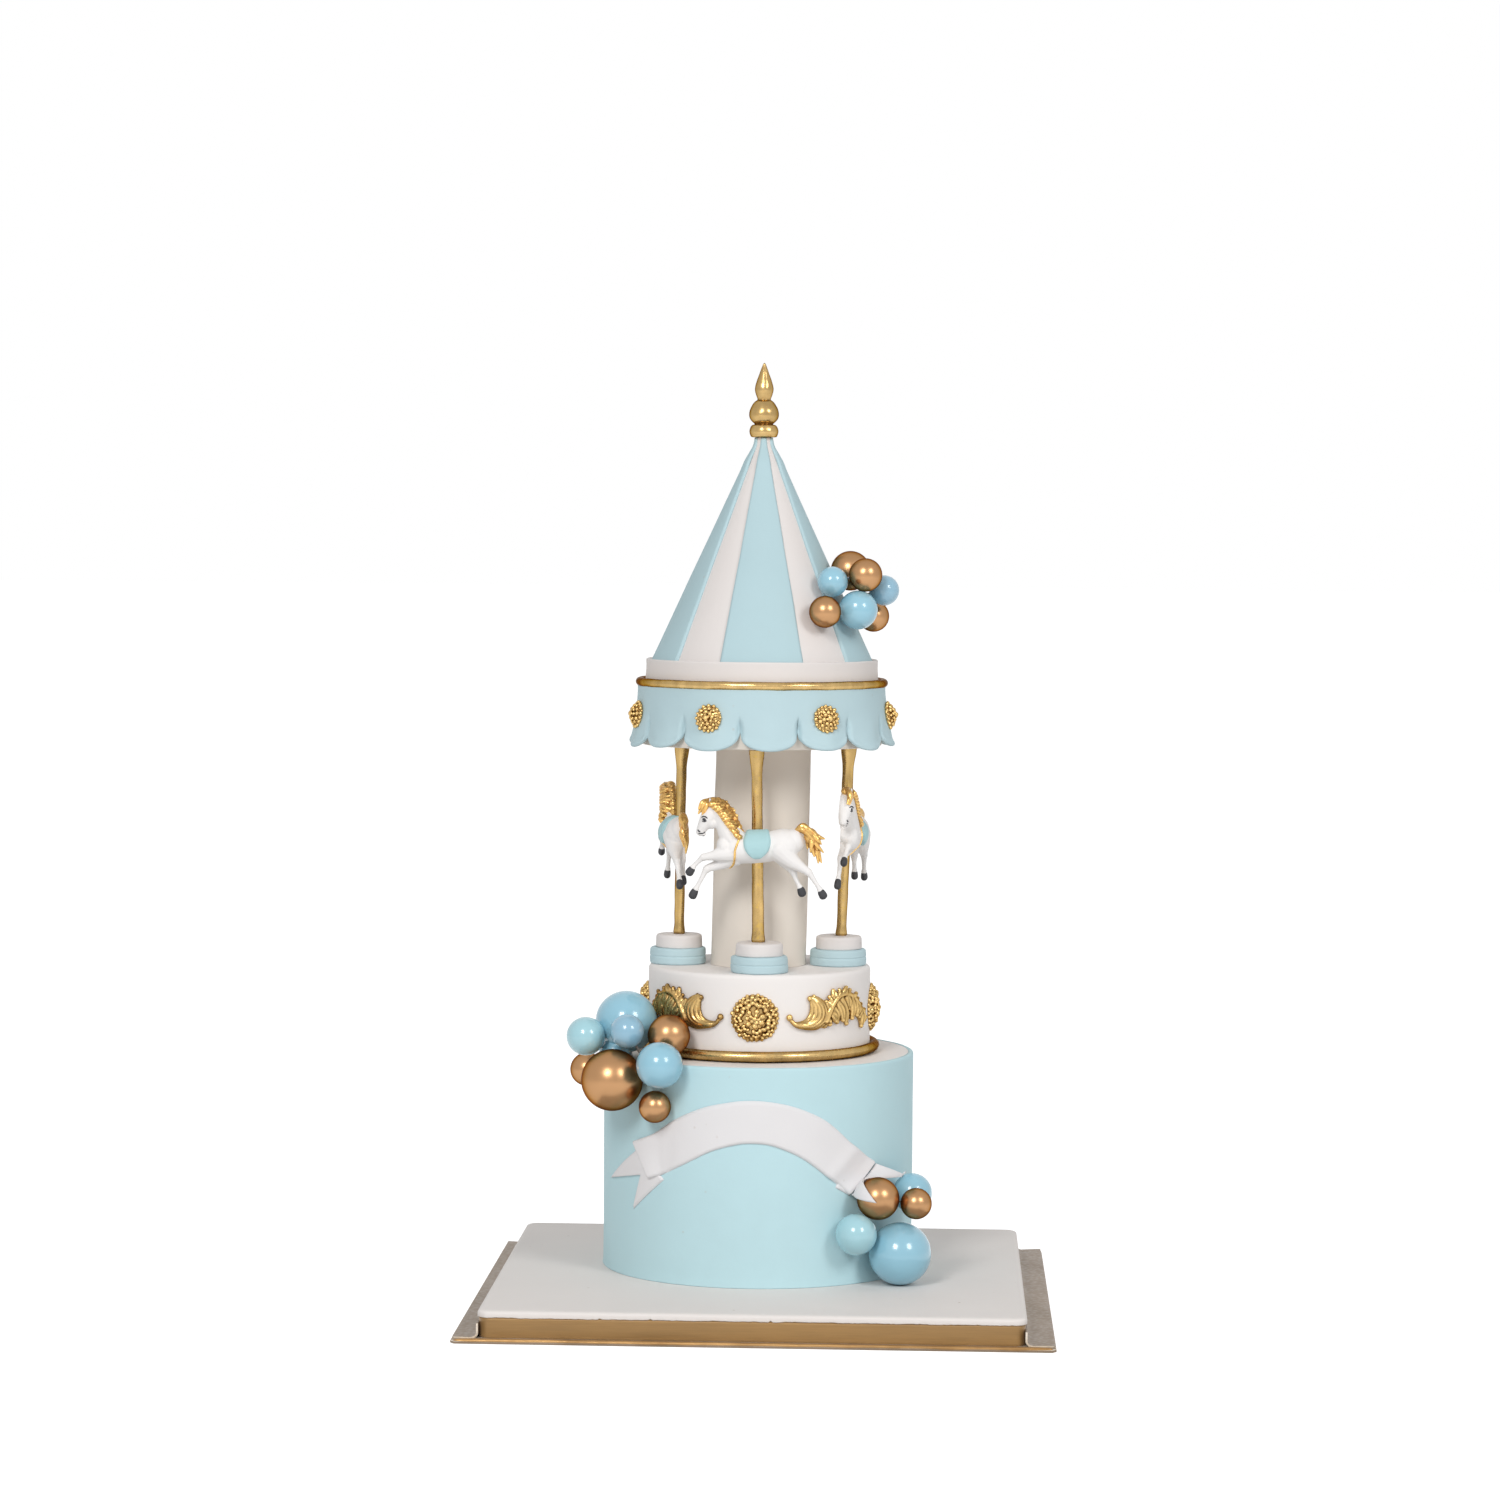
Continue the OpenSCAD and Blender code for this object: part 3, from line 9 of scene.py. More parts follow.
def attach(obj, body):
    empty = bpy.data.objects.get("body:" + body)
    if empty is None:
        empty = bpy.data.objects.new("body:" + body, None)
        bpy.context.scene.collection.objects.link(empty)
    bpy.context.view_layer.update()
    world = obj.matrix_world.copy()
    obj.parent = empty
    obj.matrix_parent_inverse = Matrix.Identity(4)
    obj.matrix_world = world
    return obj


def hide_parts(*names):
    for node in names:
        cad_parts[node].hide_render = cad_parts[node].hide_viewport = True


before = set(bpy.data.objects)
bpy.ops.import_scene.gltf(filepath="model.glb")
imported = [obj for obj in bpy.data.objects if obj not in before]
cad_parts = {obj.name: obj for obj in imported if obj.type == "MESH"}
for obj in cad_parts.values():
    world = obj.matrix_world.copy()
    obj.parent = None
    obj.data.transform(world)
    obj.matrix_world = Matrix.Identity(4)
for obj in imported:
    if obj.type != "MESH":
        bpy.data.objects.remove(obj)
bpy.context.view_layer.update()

mm = 0.001  # shapes are drawn in millimetres and scaled as they are finished
weld = 0.0002  # points nearer than this, in millimetres, become one
noise.seed_set(7)  # without a seed, noise_vector would follow the clock
scene = bpy.context.scene
scene.view_settings.view_transform = "Standard"

studio = {
    "cameraPlace": (0.098478, -2.545456, 0.456149),
    "cameraTurn": (2.367389, 87.020194, 0.452266),  # about Z, then X, then its own axis
    "lens": 103.0,
    "boxes": [(-17.5, 31.2, 0.8, 1.05, 45.0), (41.8, 30.0, 0.8, 1.05, 31.0)],  # azimuth, height, width, tall, watts
    "boxFar": 3.3,
    "sky": 0.41,
    "floorShine": 0.72,
    "floorTone": 0.86,
    "floorHalf": 30,
    "floorDrop": 0.0003,
}

camera = bpy.data.objects.new("camera", bpy.data.cameras.new("camera"))
scene.collection.objects.link(camera)
yaw, tilt, roll = (math.radians(a) for a in studio["cameraTurn"])
camera.matrix_world = (Matrix.Translation(studio["cameraPlace"]) @ Matrix.Rotation(yaw, 4, "Z")
                       @ Matrix.Rotation(tilt, 4, "X") @ Matrix.Rotation(roll, 4, "Z"))
camera.data.lens = studio["lens"]
camera.data.sensor_width = 36
camera.data.clip_start, camera.data.clip_end = 0.05, 60
scene.camera = camera

for turn, height, width, tall, power in studio["boxes"]:
    lamp = bpy.data.lights.new("softBox", "AREA")
    lamp.shape, lamp.size, lamp.size_y, lamp.energy = "RECTANGLE", width, tall, power
    box = bpy.data.objects.new("softBox", lamp)
    scene.collection.objects.link(box)
    a, e = math.radians(turn), math.radians(height)
    away = Vector((math.sin(a) * math.cos(e), -math.cos(a) * math.cos(e), math.sin(e)))
    box.location = Vector((0, 0, 0.25)) + away * studio["boxFar"]
    box.rotation_euler = away.to_track_quat("Z", "Y").to_euler()


def place(tree, kind, ins=None, **props):
    made = tree.nodes.new(kind)
    for key, value in props.items():
        setattr(made, key, value)
    for key, value in (ins or {}).items():
        if isinstance(value, bpy.types.NodeSocket):
            tree.links.new(value, made.inputs[key])
        else:
            made.inputs[key].default_value = value
    return made


def whiteForRays(tree):
    rays = place(tree, "ShaderNodeLightPath")
    seen = place(tree, "ShaderNodeMath", {0: rays.outputs["Is Camera Ray"], 1: rays.outputs["Is Glossy Ray"]},
                 operation="MAXIMUM")
    return place(tree, "ShaderNodeMath", {0: seen.outputs[0], 1: rays.outputs["Is Transmission Ray"]},
                 operation="MAXIMUM").outputs[0]


world = bpy.data.worlds.new("studio")
scene.world = world
world.use_nodes = True
sky = world.node_tree.nodes["Background"]
sky.inputs["Color"].default_value = (1, 1, 1, 1)
skyValues = {"Value": whiteForRays(world.node_tree), "To Min": studio["sky"], "To Max": 1.0}
skyLevel = place(world.node_tree, "ShaderNodeMapRange", skyValues)
world.node_tree.links.new(skyLevel.outputs[0], sky.inputs["Strength"])

floorMesh = bmesh.new()
bmesh.ops.create_grid(floorMesh, x_segments=2, y_segments=2, size=studio["floorHalf"])
floorData = bpy.data.meshes.new("floor")
floorMesh.to_mesh(floorData)
floorMesh.free()
floor = bpy.data.objects.new("floor", floorData)
scene.collection.objects.link(floor)
floor.location.z = -studio["floorDrop"]
floorPaint = bpy.data.materials.new("floorPaint")
floorPaint.use_nodes = True
tree = floorPaint.node_tree
matt = tree.nodes["Principled BSDF"]
matt.inputs["Base Color"].default_value = (studio["floorTone"],) * 3 + (1,)
matt.inputs["Roughness"].default_value = 0.9
matt.inputs["Specular IOR Level"].default_value = 0.0
shineLevel = place(tree, "ShaderNodeMath", {0: whiteForRays(tree), 1: studio["floorShine"]}, operation="MULTIPLY")
shine = place(tree, "ShaderNodeEmission", {"Color": (1, 1, 1, 1), "Strength": shineLevel.outputs[0]})
both = place(tree, "ShaderNodeAddShader", {0: matt.outputs[0], 1: shine.outputs[0]})
tree.links.new(both.outputs[0], tree.nodes["Material Output"].inputs["Surface"])
floorData.materials.append(floorPaint)
print("studio set")


def tone(r, g, b):
    return tuple((c / 255 / 12.92) if c <= 10 else ((c / 255 + 0.055) / 1.055) ** 2.4 for c in (r, g, b)) + (1.0,)


def effectGroup(name, **inputs):
    group = bpy.data.node_groups.new(name, "ShaderNodeTree")
    for key, value in inputs.items():
        kind = "NodeSocketColor" if isinstance(value, tuple) else "NodeSocketFloat"
        group.interface.new_socket(key, in_out="INPUT", socket_type=kind).default_value = value
    group.interface.new_socket("Colour", in_out="OUTPUT", socket_type="NodeSocketColor")
    group.interface.new_socket("Roughness", in_out="OUTPUT", socket_type="NodeSocketFloat")
    group.interface.new_socket("Height", in_out="OUTPUT", socket_type="NodeSocketFloat")
    given = group.nodes.new("NodeGroupInput")
    result = group.nodes.new("NodeGroupOutput")
    spot = place(group, "ShaderNodeTexCoord").outputs["Object"]
    return group, given.outputs, result.inputs, spot


def maths(tree, operation, a, b=0.0, c=0.0):
    return place(tree, "ShaderNodeMath", {0: a, 1: b, 2: c}, operation=operation).outputs[0]


def cloud(tree, spot, scale, detail=3.0, stretch=None, rough=0.5):
    if stretch:
        spot = place(tree, "ShaderNodeMapping", {"Vector": spot, "Scale": stretch}).outputs[0]
    return place(tree, "ShaderNodeTexNoise", {"Vector": spot, "Scale": scale, "Detail": detail,
                                              "Roughness": rough}).outputs["Fac"]


def remap(tree, value, low, high, first=0.0, last=1.0):
    return place(tree, "ShaderNodeMapRange", {"Value": value, "From Min": low, "From Max": high, "To Min": first,
                                              "To Max": last}).outputs[0]


def blendTones(tree, factor, a, b, kind="MIX"):
    return place(tree, "ShaderNodeMix", {0: factor, 6: a, 7: b}, data_type="RGBA", blend_type=kind).outputs[2]


def brighten(tree, colour, amount):
    return place(tree, "ShaderNodeHueSaturation", {"Color": colour, "Value": amount}).outputs[0]


def join(tree, result, colour, roughness, height):
    for key, value in (("Colour", colour), ("Roughness", roughness), ("Height", height)):
        tree.links.new(value, result[key])


# rolled sugar paste: chalky, softly mottled, with fine grain and a few crumbs
paste, given, result, spot = effectGroup("pasteSurface", Colour=tone(200, 200, 200), Mottle=0.06, Crumbs=0.5)
broad, patch = cloud(paste, spot, 17, 4), cloud(paste, spot, 85, 3)
grain, ripple = cloud(paste, spot, 1500, 2), cloud(paste, spot, 210, 4)
blotch = maths(paste, "MULTIPLY", maths(paste, "SUBTRACT", patch, 0.5), 0.5)
shade = maths(paste, "ADD", maths(paste, "SUBTRACT", broad, 0.5), blotch)
value = maths(paste, "MULTIPLY_ADD", shade, given["Mottle"], 1.0)
crumb = place(paste, "ShaderNodeTexVoronoi", {"Vector": spot, "Scale": 150, "Randomness": 1.0})
rare = place(paste, "ShaderNodeSeparateColor", {"Color": crumb.outputs["Color"]}).outputs[0]
dot = maths(paste, "MULTIPLY", remap(paste, crumb.outputs["Distance"], 0.16, 0.05), remap(paste, rare, 0.955, 0.965))
dot = maths(paste, "MULTIPLY", dot, given["Crumbs"])
chalk = brighten(paste, given["Colour"], value)
relief = maths(paste, "ADD", ripple, maths(paste, "MULTIPLY", dot, 0.5))
relief = maths(paste, "ADD", maths(paste, "MULTIPLY", grain, 0.16), relief)
colour = blendTones(paste, dot, chalk, tone(176, 160, 142))
join(paste, result, colour, remap(paste, patch, 0.3, 0.7, 0.56, 0.7), relief)

# brushed gold lustre: painted shade darkens the colour in the hollows, while the ridges keep the plain gold
lustre, given, result, spot = effectGroup("goldLustre", Colour=tone(214, 182, 126), Hollow=tone(104, 72, 34),
                                          Warmth=tone(190, 140, 84), Brush=0.5, Gloss=0.34)
ridge = place(lustre, "ShaderNodeNewGeometry").outputs["Pointiness"]
# pointiness finds the hollows, and their darker tone is painted shade
hollowShadeMix = remap(lustre, ridge, 0.44, 0.53)
stroke = cloud(lustre, spot, 160, 4, (1, 1, 0.28))
dapple = cloud(lustre, spot, 420, 3)
base = blendTones(lustre, hollowShadeMix, given["Hollow"], given["Colour"])
base = blendTones(lustre, maths(lustre, "MULTIPLY", remap(lustre, dapple, 0.56, 0.72), 0.5), base, given["Warmth"])
base = brighten(lustre, base, remap(lustre, stroke, 0.3, 0.7, 0.84, 1.14))
join(lustre, result, base, maths(lustre, "ADD", remap(lustre, dapple, 0.3, 0.7, -0.07, 0.07), given["Gloss"]),
     maths(lustre, "ADD", maths(lustre, "MULTIPLY", stroke, given["Brush"]), maths(lustre, "MULTIPLY", dapple, 0.4)))

# dimpled foil laminated on card
foil, given, result, spot = effectGroup("dimpledFoil", Colour=tone(150, 135, 120), Edge=tone(120, 98, 68), Dimple=1.0)
dimple = place(foil, "ShaderNodeTexVoronoi", {"Vector": spot, "Scale": 420, "Smoothness": 0.6},
               feature="SMOOTH_F1").outputs["Distance"]
crease, sweep = cloud(foil, spot, 26, 6, (1, 0.35, 1), 0.6), cloud(foil, spot, 9, 3)
colour = blendTones(foil, remap(foil, crease, 0.4, 0.7), given["Colour"], given["Edge"])
join(foil, result, brighten(foil, colour, remap(foil, sweep, 0.3, 0.7, 0.9, 1.1)),
     remap(foil, dimple, 0.0, 0.7, 0.3, 0.46),
     maths(foil, "ADD", maths(foil, "MULTIPLY", dimple, given["Dimple"]), maths(foil, "MULTIPLY", crease, 1.5)))

# satin ribbon: fine threads along its length
satin, given, result, spot = effectGroup("satinWeave", Colour=tone(176, 138, 86), Thread=0.35)
thread, slub = cloud(satin, spot, 1.0, 2, (60, 60, 2600)), cloud(satin, spot, 1.0, 3, (14, 14, 90))
value = maths(satin, "ADD", remap(satin, thread, 0.3, 0.7, 0.93, 1.07), remap(satin, slub, 0.3, 0.7, -0.1, 0.1))
colour = brighten(satin, given["Colour"], value)
relief = maths(satin, "MULTIPLY", thread, given["Thread"])
join(satin, result, colour, remap(satin, slub, 0.3, 0.7, 0.36, 0.5), relief)

# pearly balloon lacquer: a smooth coat with faint dust and swirls
pearl, given, result, spot = effectGroup("pearlLacquer", Colour=tone(150, 200, 220), Swirl=0.05, Gloss=0.22)
swirl, dust = cloud(pearl, spot, 45, 3), cloud(pearl, spot, 900, 2)
value = maths(pearl, "MULTIPLY_ADD", maths(pearl, "SUBTRACT", swirl, 0.5), given["Swirl"], 1.0)
gloss = maths(pearl, "ADD", remap(pearl, dust, 0.3, 0.7, -0.03, 0.03), given["Gloss"])
join(pearl, result, brighten(pearl, given["Colour"], value), gloss, maths(pearl, "MULTIPLY", swirl, 0.5))

# turned or cut metal with fine tool marks
metal, given, result, spot = effectGroup("workedMetal", Colour=tone(200, 170, 100), Marks=0.5)
mark, smear = cloud(metal, spot, 1.0, 3, (300, 300, 2600)), cloud(metal, spot, 130, 3)
join(metal, result, brighten(metal, given["Colour"], remap(metal, smear, 0.3, 0.7, 0.9, 1.06)),
     remap(metal, mark, 0.3, 0.7, 0.22, 0.4),
     maths(metal, "MULTIPLY", mark, given["Marks"]))

# fibre board, foam beads and wood for what is inside
fibre, given, result, spot = effectGroup("fibreBoard", Colour=tone(212, 196, 168))
strand = cloud(fibre, spot, 1.0, 5, (500, 160, 900), 0.7)
join(fibre, result, brighten(fibre, given["Colour"], remap(fibre, strand, 0.3, 0.7, 0.86, 1.08)),
     remap(fibre, strand, 0.3, 0.7, 0.8, 0.95), strand)

beads, given, result, spot = effectGroup("foamBeads", Colour=tone(242, 242, 240))
cell = place(beads, "ShaderNodeTexVoronoi", {"Vector": spot, "Scale": 300}).outputs["Distance"]
join(beads, result, brighten(beads, given["Colour"], remap(beads, cell, 0.2, 0.8, 1.0, 0.88)),
     remap(beads, cell, 0.2, 0.8, 0.6, 0.8), maths(beads, "SUBTRACT", 1.0, cell))

grainWood, given, result, spot = effectGroup("woodGrain", Colour=tone(208, 172, 120))
ring = cloud(grainWood, spot, 1.0, 4, (420, 420, 18))
join(grainWood, result, brighten(grainWood, given["Colour"], remap(grainWood, ring, 0.3, 0.7, 0.8, 1.1)),
     remap(grainWood, ring, 0.3, 0.7, 0.55, 0.7), ring)


def surface(name, group, relief, values=None, **plain):
    material = bpy.data.materials.new(name)
    material.use_nodes = True
    tree = material.node_tree
    shader = tree.nodes["Principled BSDF"]
    effect = place(tree, "ShaderNodeGroup", node_tree=group)
    for key, value in (values or {}).items():
        effect.inputs[key].default_value = value
    tree.links.new(effect.outputs["Colour"], shader.inputs["Base Color"])
    tree.links.new(effect.outputs["Roughness"], shader.inputs["Roughness"])
    bump = place(tree, "ShaderNodeBump", {"Height": effect.outputs["Height"], "Distance": relief * mm,
                                          "Strength": 1.0})
    tree.links.new(bump.outputs[0], shader.inputs["Normal"])
    for key, value in plain.items():
        shader.inputs[key.replace("_", " ")].default_value = value
    return material


rimShadeTint = tone(120, 90, 60)  # a brown specular tint for the gold: painted shade that darkens its rims, standing in for dark surroundings in the reflection


def sugar(name, colour, mottle, crumbs, relief=0.08, gloss=0.32):
    values = {"Colour": tone(*colour), "Mottle": mottle, "Crumbs": crumbs}
    return surface(name, paste, relief, values, Specular_IOR_Level=gloss)


def gilt(name, colour, hollow, warmth, relief, gloss, brush=0.5, **plain):
    values = {"Colour": tone(*colour), "Hollow": tone(*hollow), "Warmth": tone(*warmth), "Brush": brush,
              "Gloss": gloss}
    return surface(name, lustre, relief, values, **plain)


def foiled(name, colour, edge, metallic, relief=0.06):
    return surface(name, foil, relief, {"Colour": tone(*colour), "Edge": tone(*edge)}, Metallic=metallic)


def lacquer(name, colour):
    return surface(name, pearl, 0.02, {"Colour": tone(*colour)}, Coat_Weight=0.5, Coat_Roughness=0.08)


bluePaste = sugar("bluePaste", (188, 219, 225), 0.09, 0.25)
# darker than the drum's blue paste: painted shade on the valance, and on the pedestal bases that share it
shadedBluePaste = sugar("shadedBluePaste", (182, 206, 212), 0.09, 0.25)
canopyPaste = sugar("canopyPaste", (222, 216, 213), 0.05, 0.35)
bannerPaste = sugar("bannerPaste", (226, 224, 225), 0.05, 0.25)
# darker than the drum's blue paste: painted shade that offsets the extra light the upward-facing cone catches
stripeShadedPaste = sugar("stripeShadedPaste", (175, 201, 207), 0.09, 0.25)
saddlePaste = sugar("saddlePaste", (172, 208, 212), 0.05, 0.0, 0.05)
whitePaste = sugar("whitePaste", (234, 229, 226), 0.05, 0.35)
columnPaste = sugar("columnPaste", (226, 217, 206), 0.07, 0.3, 0.1)
boardPaste = sugar("boardPaste", (228, 222, 218), 0.07, 0.8, 0.1)
horsePaste = sugar("horsePaste", (236, 233, 231), 0.05, 0.0, 0.05, 0.4)
# black paint for the hooves and face, also used for the painted shade along the ear
blackPaintAndEarShade = sugar("blackPaintAndEarShade", (50, 50, 54), 0.5, 0.0, 0.06, 0.5)
# the hollow tones of these gilt finishes are painted shade in their recesses
paintedGold = gilt("paintedGold", (198, 168, 114), (112, 80, 38), (178, 140, 84), 0.02, 0.26, 0.25,
                   Metallic=1.0, Specular_Tint=rimShadeTint)
carvedGold = gilt("carvedGold", (218, 184, 122), (78, 50, 20), (190, 144, 80), 0.03, 0.26,
                  Metallic=0.9, Specular_Tint=rimShadeTint)
poleGold = gilt("poleGold", (188, 158, 104), (108, 78, 34), (206, 170, 74), 0.04, 0.27, 0.8,
                Metallic=1.0, Specular_Tint=rimShadeTint)
hairGold = gilt("hairGold", (228, 186, 110), (116, 58, 20), (206, 128, 62), 0.03, 0.27, Metallic=0.7)
trayFoil = foiled("trayFoil", (138, 121, 104), (116, 96, 70), 0.6, 0.1)
hemFoil = foiled("hemFoil", (168, 130, 82), (128, 94, 54), 0.7)
# a dark foil for the painted contact shadow under the hem
paintedShadowFoil = foiled("paintedShadowFoil", (74, 58, 38), (52, 40, 26), 0.2)
# pale foil: the pale cut card at the flaps' front ends, and a painted reflection on the tray's front strip
paleCardAndPaintedReflection = foiled("paleCardAndPaintedReflection", (226, 216, 204), (196, 178, 150), 0.5)
ribbonSatin = surface("ribbonSatin", satin, 0.05, {"Colour": tone(153, 119, 73)},
                      Metallic=0.2, Sheen_Weight=0.15, Specular_IOR_Level=0.4)
blueBall = lacquer("blueBall", (144, 193, 212))
paleBall = lacquer("paleBall", (162, 206, 216))
greyBall = lacquer("greyBall", (142, 184, 206))
goldBall = surface("goldBall", pearl, 0.02, {"Colour": tone(178, 137, 98), "Swirl": 0.2, "Gloss": 0.31},
                   Metallic=1.0, Specular_Tint=rimShadeTint)
brass = surface("brass", metal, 0.03, {"Colour": tone(214, 184, 112)}, Metallic=1.0)
steel = surface("steel", metal, 0.03, {"Colour": tone(190, 192, 196)}, Metallic=1.0)
board = surface("board", fibre, 0.08)
foam = surface("foam", beads, 0.15)
dowelWood = surface("dowelWood", grainWood, 0.05)
print("finishes mixed")


def onto(bm, shape, verts=None):
    for v in (verts if verts is not None else bm.verts):
        v.co = shape(v.co)


def outwards(bm):
    bmesh.ops.recalc_face_normals(bm, faces=bm.faces)


def rimOf(bm):
    return [e for e in bm.edges if e.is_boundary]


def closeHoles(bm):
    bmesh.ops.holes_fill(bm, edges=rimOf(bm), sides=0)


# the rim of an open sheet is drawn back by shape, and the back is closed
def closeBack(bm, shape):
    made = bmesh.ops.extrude_edge_only(bm, edges=rimOf(bm))["geom"]
    onto(bm, shape, [g for g in made if isinstance(g, bmesh.types.BMVert)])
    closeHoles(bm)


# cuts off what lies behind Y = back, and closes the cut
def flatBack(bm, back=-0.02):
    everything = bm.verts[:] + bm.edges[:] + bm.faces[:]
    bmesh.ops.bisect_plane(bm, geom=everything, plane_co=(0, back, 0), plane_no=(0, 1, 0), clear_outer=True)
    closeHoles(bm)


def splitFans(bm):
    bmesh.ops.triangulate(bm, faces=[f for f in bm.faces if len(f.verts) > 4])


# moves one bmesh into another, and gives back its faces there
def addPart(bm, part):
    held = bpy.data.meshes.new("part")
    part.to_mesh(held)
    part.free()
    count = len(bm.faces)
    bm.from_mesh(held)
    bpy.data.meshes.remove(held)
    bm.faces.ensure_lookup_table()
    return bm.faces[count:]


def noiseAt(x, y, z):
    return noise.noise(Vector((x, y, z)))


def lathe(profile, steps):
    bm = bmesh.new()
    points = [bm.verts.new((r, 0, z)) for r, z in profile]
    edges = [bm.edges.new(pair) for pair in zip(points, points[1:])]
    bmesh.ops.spin(bm, geom=points + edges, axis=(0, 0, 1), cent=(0, 0, 0), angle=2 * math.pi, steps=steps,
                   use_merge=True)
    bmesh.ops.remove_doubles(bm, verts=bm.verts, dist=weld)
    outwards(bm)
    return bm


# a turned outline: (radius, height, rounding) corners, with points along the straight parts
def outline(corners, pitch=3.0):
    points = []
    last = len(corners) - 1
    for i, (r, z, soft) in enumerate(corners):
        here = Vector((r, z))
        if soft and 0 < i < last:
            a, b = (Vector(corners[k][:2]) - here for k in (i - 1, i + 1))
            a, b = (here + way.normalized() * min(soft, way.length * 0.49) for way in (a, b))
            points += [a.lerp(here, t).lerp(here.lerp(b, t), t) for t in (0, 0.2, 0.4, 0.6, 0.8, 1)]
        else:
            points.append(here)
    full = [points[0]]
    for p in points[1:]:
        parts = max(1, math.ceil((p - full[-1]).length / pitch))
        start = full[-1]
        full += [start.lerp(p, (k + 1) / parts) for k in range(parts)]
    return full


def gridSurface(shape, across, along, bm=None):
    bm = bm or bmesh.new()
    verts = bmesh.ops.create_grid(bm, x_segments=across, y_segments=along, size=1)["verts"]
    onto(bm, lambda co: shape((co.x + 1) / 2, (co.y + 1) / 2), verts)
    bmesh.ops.remove_doubles(bm, verts=verts, dist=weld)
    return bm


# a soft line through points with any number of values, a radius among them
def smoothLine(points, parts):
    fine = []
    n = len(points)
    for i in range(n - 1):
        p = [points[max(0, min(n - 1, i + k))] for k in (-1, 0, 1, 2)]
        for k in range(parts):
            t = k / parts
            fine.append([0.5 * (2 * b + (c - a) * t + (2 * a - 5 * b + 4 * c - d) * t * t
                                + (3 * b - a - 3 * c + d) * t ** 3) for a, b, c, d in zip(*p)])
    return fine + [list(points[-1])]


def along(line, t):
    i = t * (len(line) - 1)
    k = min(int(i), len(line) - 2)
    return Vector(line[k]).lerp(Vector(line[k + 1]), i - k)


# a rod, strand or limb along (x, y, z, radius) points, with round ends
def strand(bm, points, sides=12, parts=4, flat=1.0):
    line = smoothLine(points, parts)
    centre = [Vector(p[:3]) for p in line]
    ahead = [(centre[min(i + 1, len(line) - 1)] - centre[max(i - 1, 0)]).normalized() for i in range(len(line))]
    across = ahead[0].orthogonal().normalized()

    def cap(end, side, k):
        radius = line[end][3]
        middle = centre[end] + ahead[end] * side * radius * (1 - k) * 0.9
        return middle, ahead[end], radius * math.sqrt(1 - (1 - k) ** 2)

    capSteps = (0.0, 0.3, 0.6, 0.85)
    rings = [cap(0, -1, k) for k in capSteps]
    rings += [(centre[i], ahead[i], line[i][3]) for i in range(len(line))]
    rings += [cap(-1, 1, k) for k in reversed(capSteps)]
    frames = []
    for middle, way, radius in rings:
        across = (across - way * across.dot(way)).normalized()
        frames.append((middle, across.copy(), way.cross(across), max(radius, 0.0)))

    def shape(u, v):
        middle, side, up, radius = frames[round(v * (len(frames) - 1))]
        a = 2 * math.pi * u
        out = side * math.cos(a) + up * math.sin(a)
        out.y *= flat
        return middle + out * radius

    return gridSurface(shape, sides, len(frames) - 1, bm)


def lump(bm, centre, radii, turn=None, fine=16):
    matrix = Matrix.Translation(centre) @ (turn or Matrix()) @ Matrix.Diagonal((*radii, 1))
    bmesh.ops.create_uvsphere(bm, u_segments=fine, v_segments=fine // 2 + 1, radius=1, matrix=matrix)


# several overlapping solids become one skin, as clay does
def fused(bm, voxel, soften, strength):
    lumpMesh = bpy.data.meshes.new("clay")
    outwards(bm)
    bm.to_mesh(lumpMesh)
    clay = bpy.data.objects.new("clay", lumpMesh)
    scene.collection.objects.link(clay)
    skin = clay.modifiers.new("skin", "REMESH")
    skin.mode, skin.voxel_size = "VOXEL", voxel
    rub = clay.modifiers.new("rub", "SMOOTH")
    rub.factor, rub.iterations = strength, soften
    done = bpy.data.meshes.new_from_object(clay.evaluated_get(bpy.context.evaluated_depsgraph_get()))
    bm.clear()
    bm.from_mesh(done)
    bpy.data.objects.remove(clay)
    bpy.data.meshes.remove(done)
    bpy.data.meshes.remove(lumpMesh)


def finishPiece(bm, name, body, materials, nodes=(), recalc=True):
    if recalc:
        outwards(bm)
    bmesh.ops.scale(bm, vec=(mm, mm, mm), verts=bm.verts)
    mesh = bpy.data.meshes.new(name)
    bm.to_mesh(mesh)
    bm.free()
    for material in (materials if isinstance(materials, (list, tuple)) else [materials]):
        mesh.materials.append(material)
    mesh.polygons.foreach_set("use_smooth", [True] * len(mesh.polygons))
    piece = bpy.data.objects.new(name, mesh)
    scene.collection.objects.link(piece)
    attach(piece, body)
    if nodes:
        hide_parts(*nodes)
    return piece


def roundAt(turn, out, z):
    a = math.radians(turn)
    return Vector((out * math.sin(a), -out * math.cos(a), z))


# wraps a piece drawn with X along a wall, Z up and -Y outward onto a round wall
def wrapped(radius, turn=0.0):
    def shape(co):
        return roundAt(turn + math.degrees(co.x / radius), radius - co.y, co.z)
    return shape


def uneven(radial, fineness, seed, upDown=0.0):
    def shape(co):
        n = noise.noise_vector(co * fineness + Vector((seed, seed * 0.7, -seed)))
        out = Vector((co.x, co.y, 0))
        if out.length > 1e-6:
            out.normalize()
        return co + out * n.x * radial + Vector((0, 0, n.z * upDown))
    return shape


def smoothStep(a, b, x):
    t = max(0.0, min(1.0, (x - a) / (b - a)))
    return t * t * (3 - 2 * t)


def dress(material, *names):
    for name in names:
        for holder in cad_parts[name].material_slots:
            holder.material = material


level = {"boardZ": 1.5, "boardTop": 14.2, "drumZ": 17.1, "drumTop": 145.1, "platformZ": 146.1, "platformTop": 196.1,
         "columnTop": 327.1, "coreTop": 359.7, "bandTop": 377.0, "coneTop": 509.0}

tray = {"middle": (4.6, -16.8), "size": (338.0, 331.0), "card": 1.5, "hem": 1.5, "flapLeft": 14.7, "flapRight": 16.7,
        "flapCard": 1.1, "flapRise": 11.0, "flapBack": 1.0, "flapFront": 7.5, "flapBend": 4.2, "fold": 0.75}


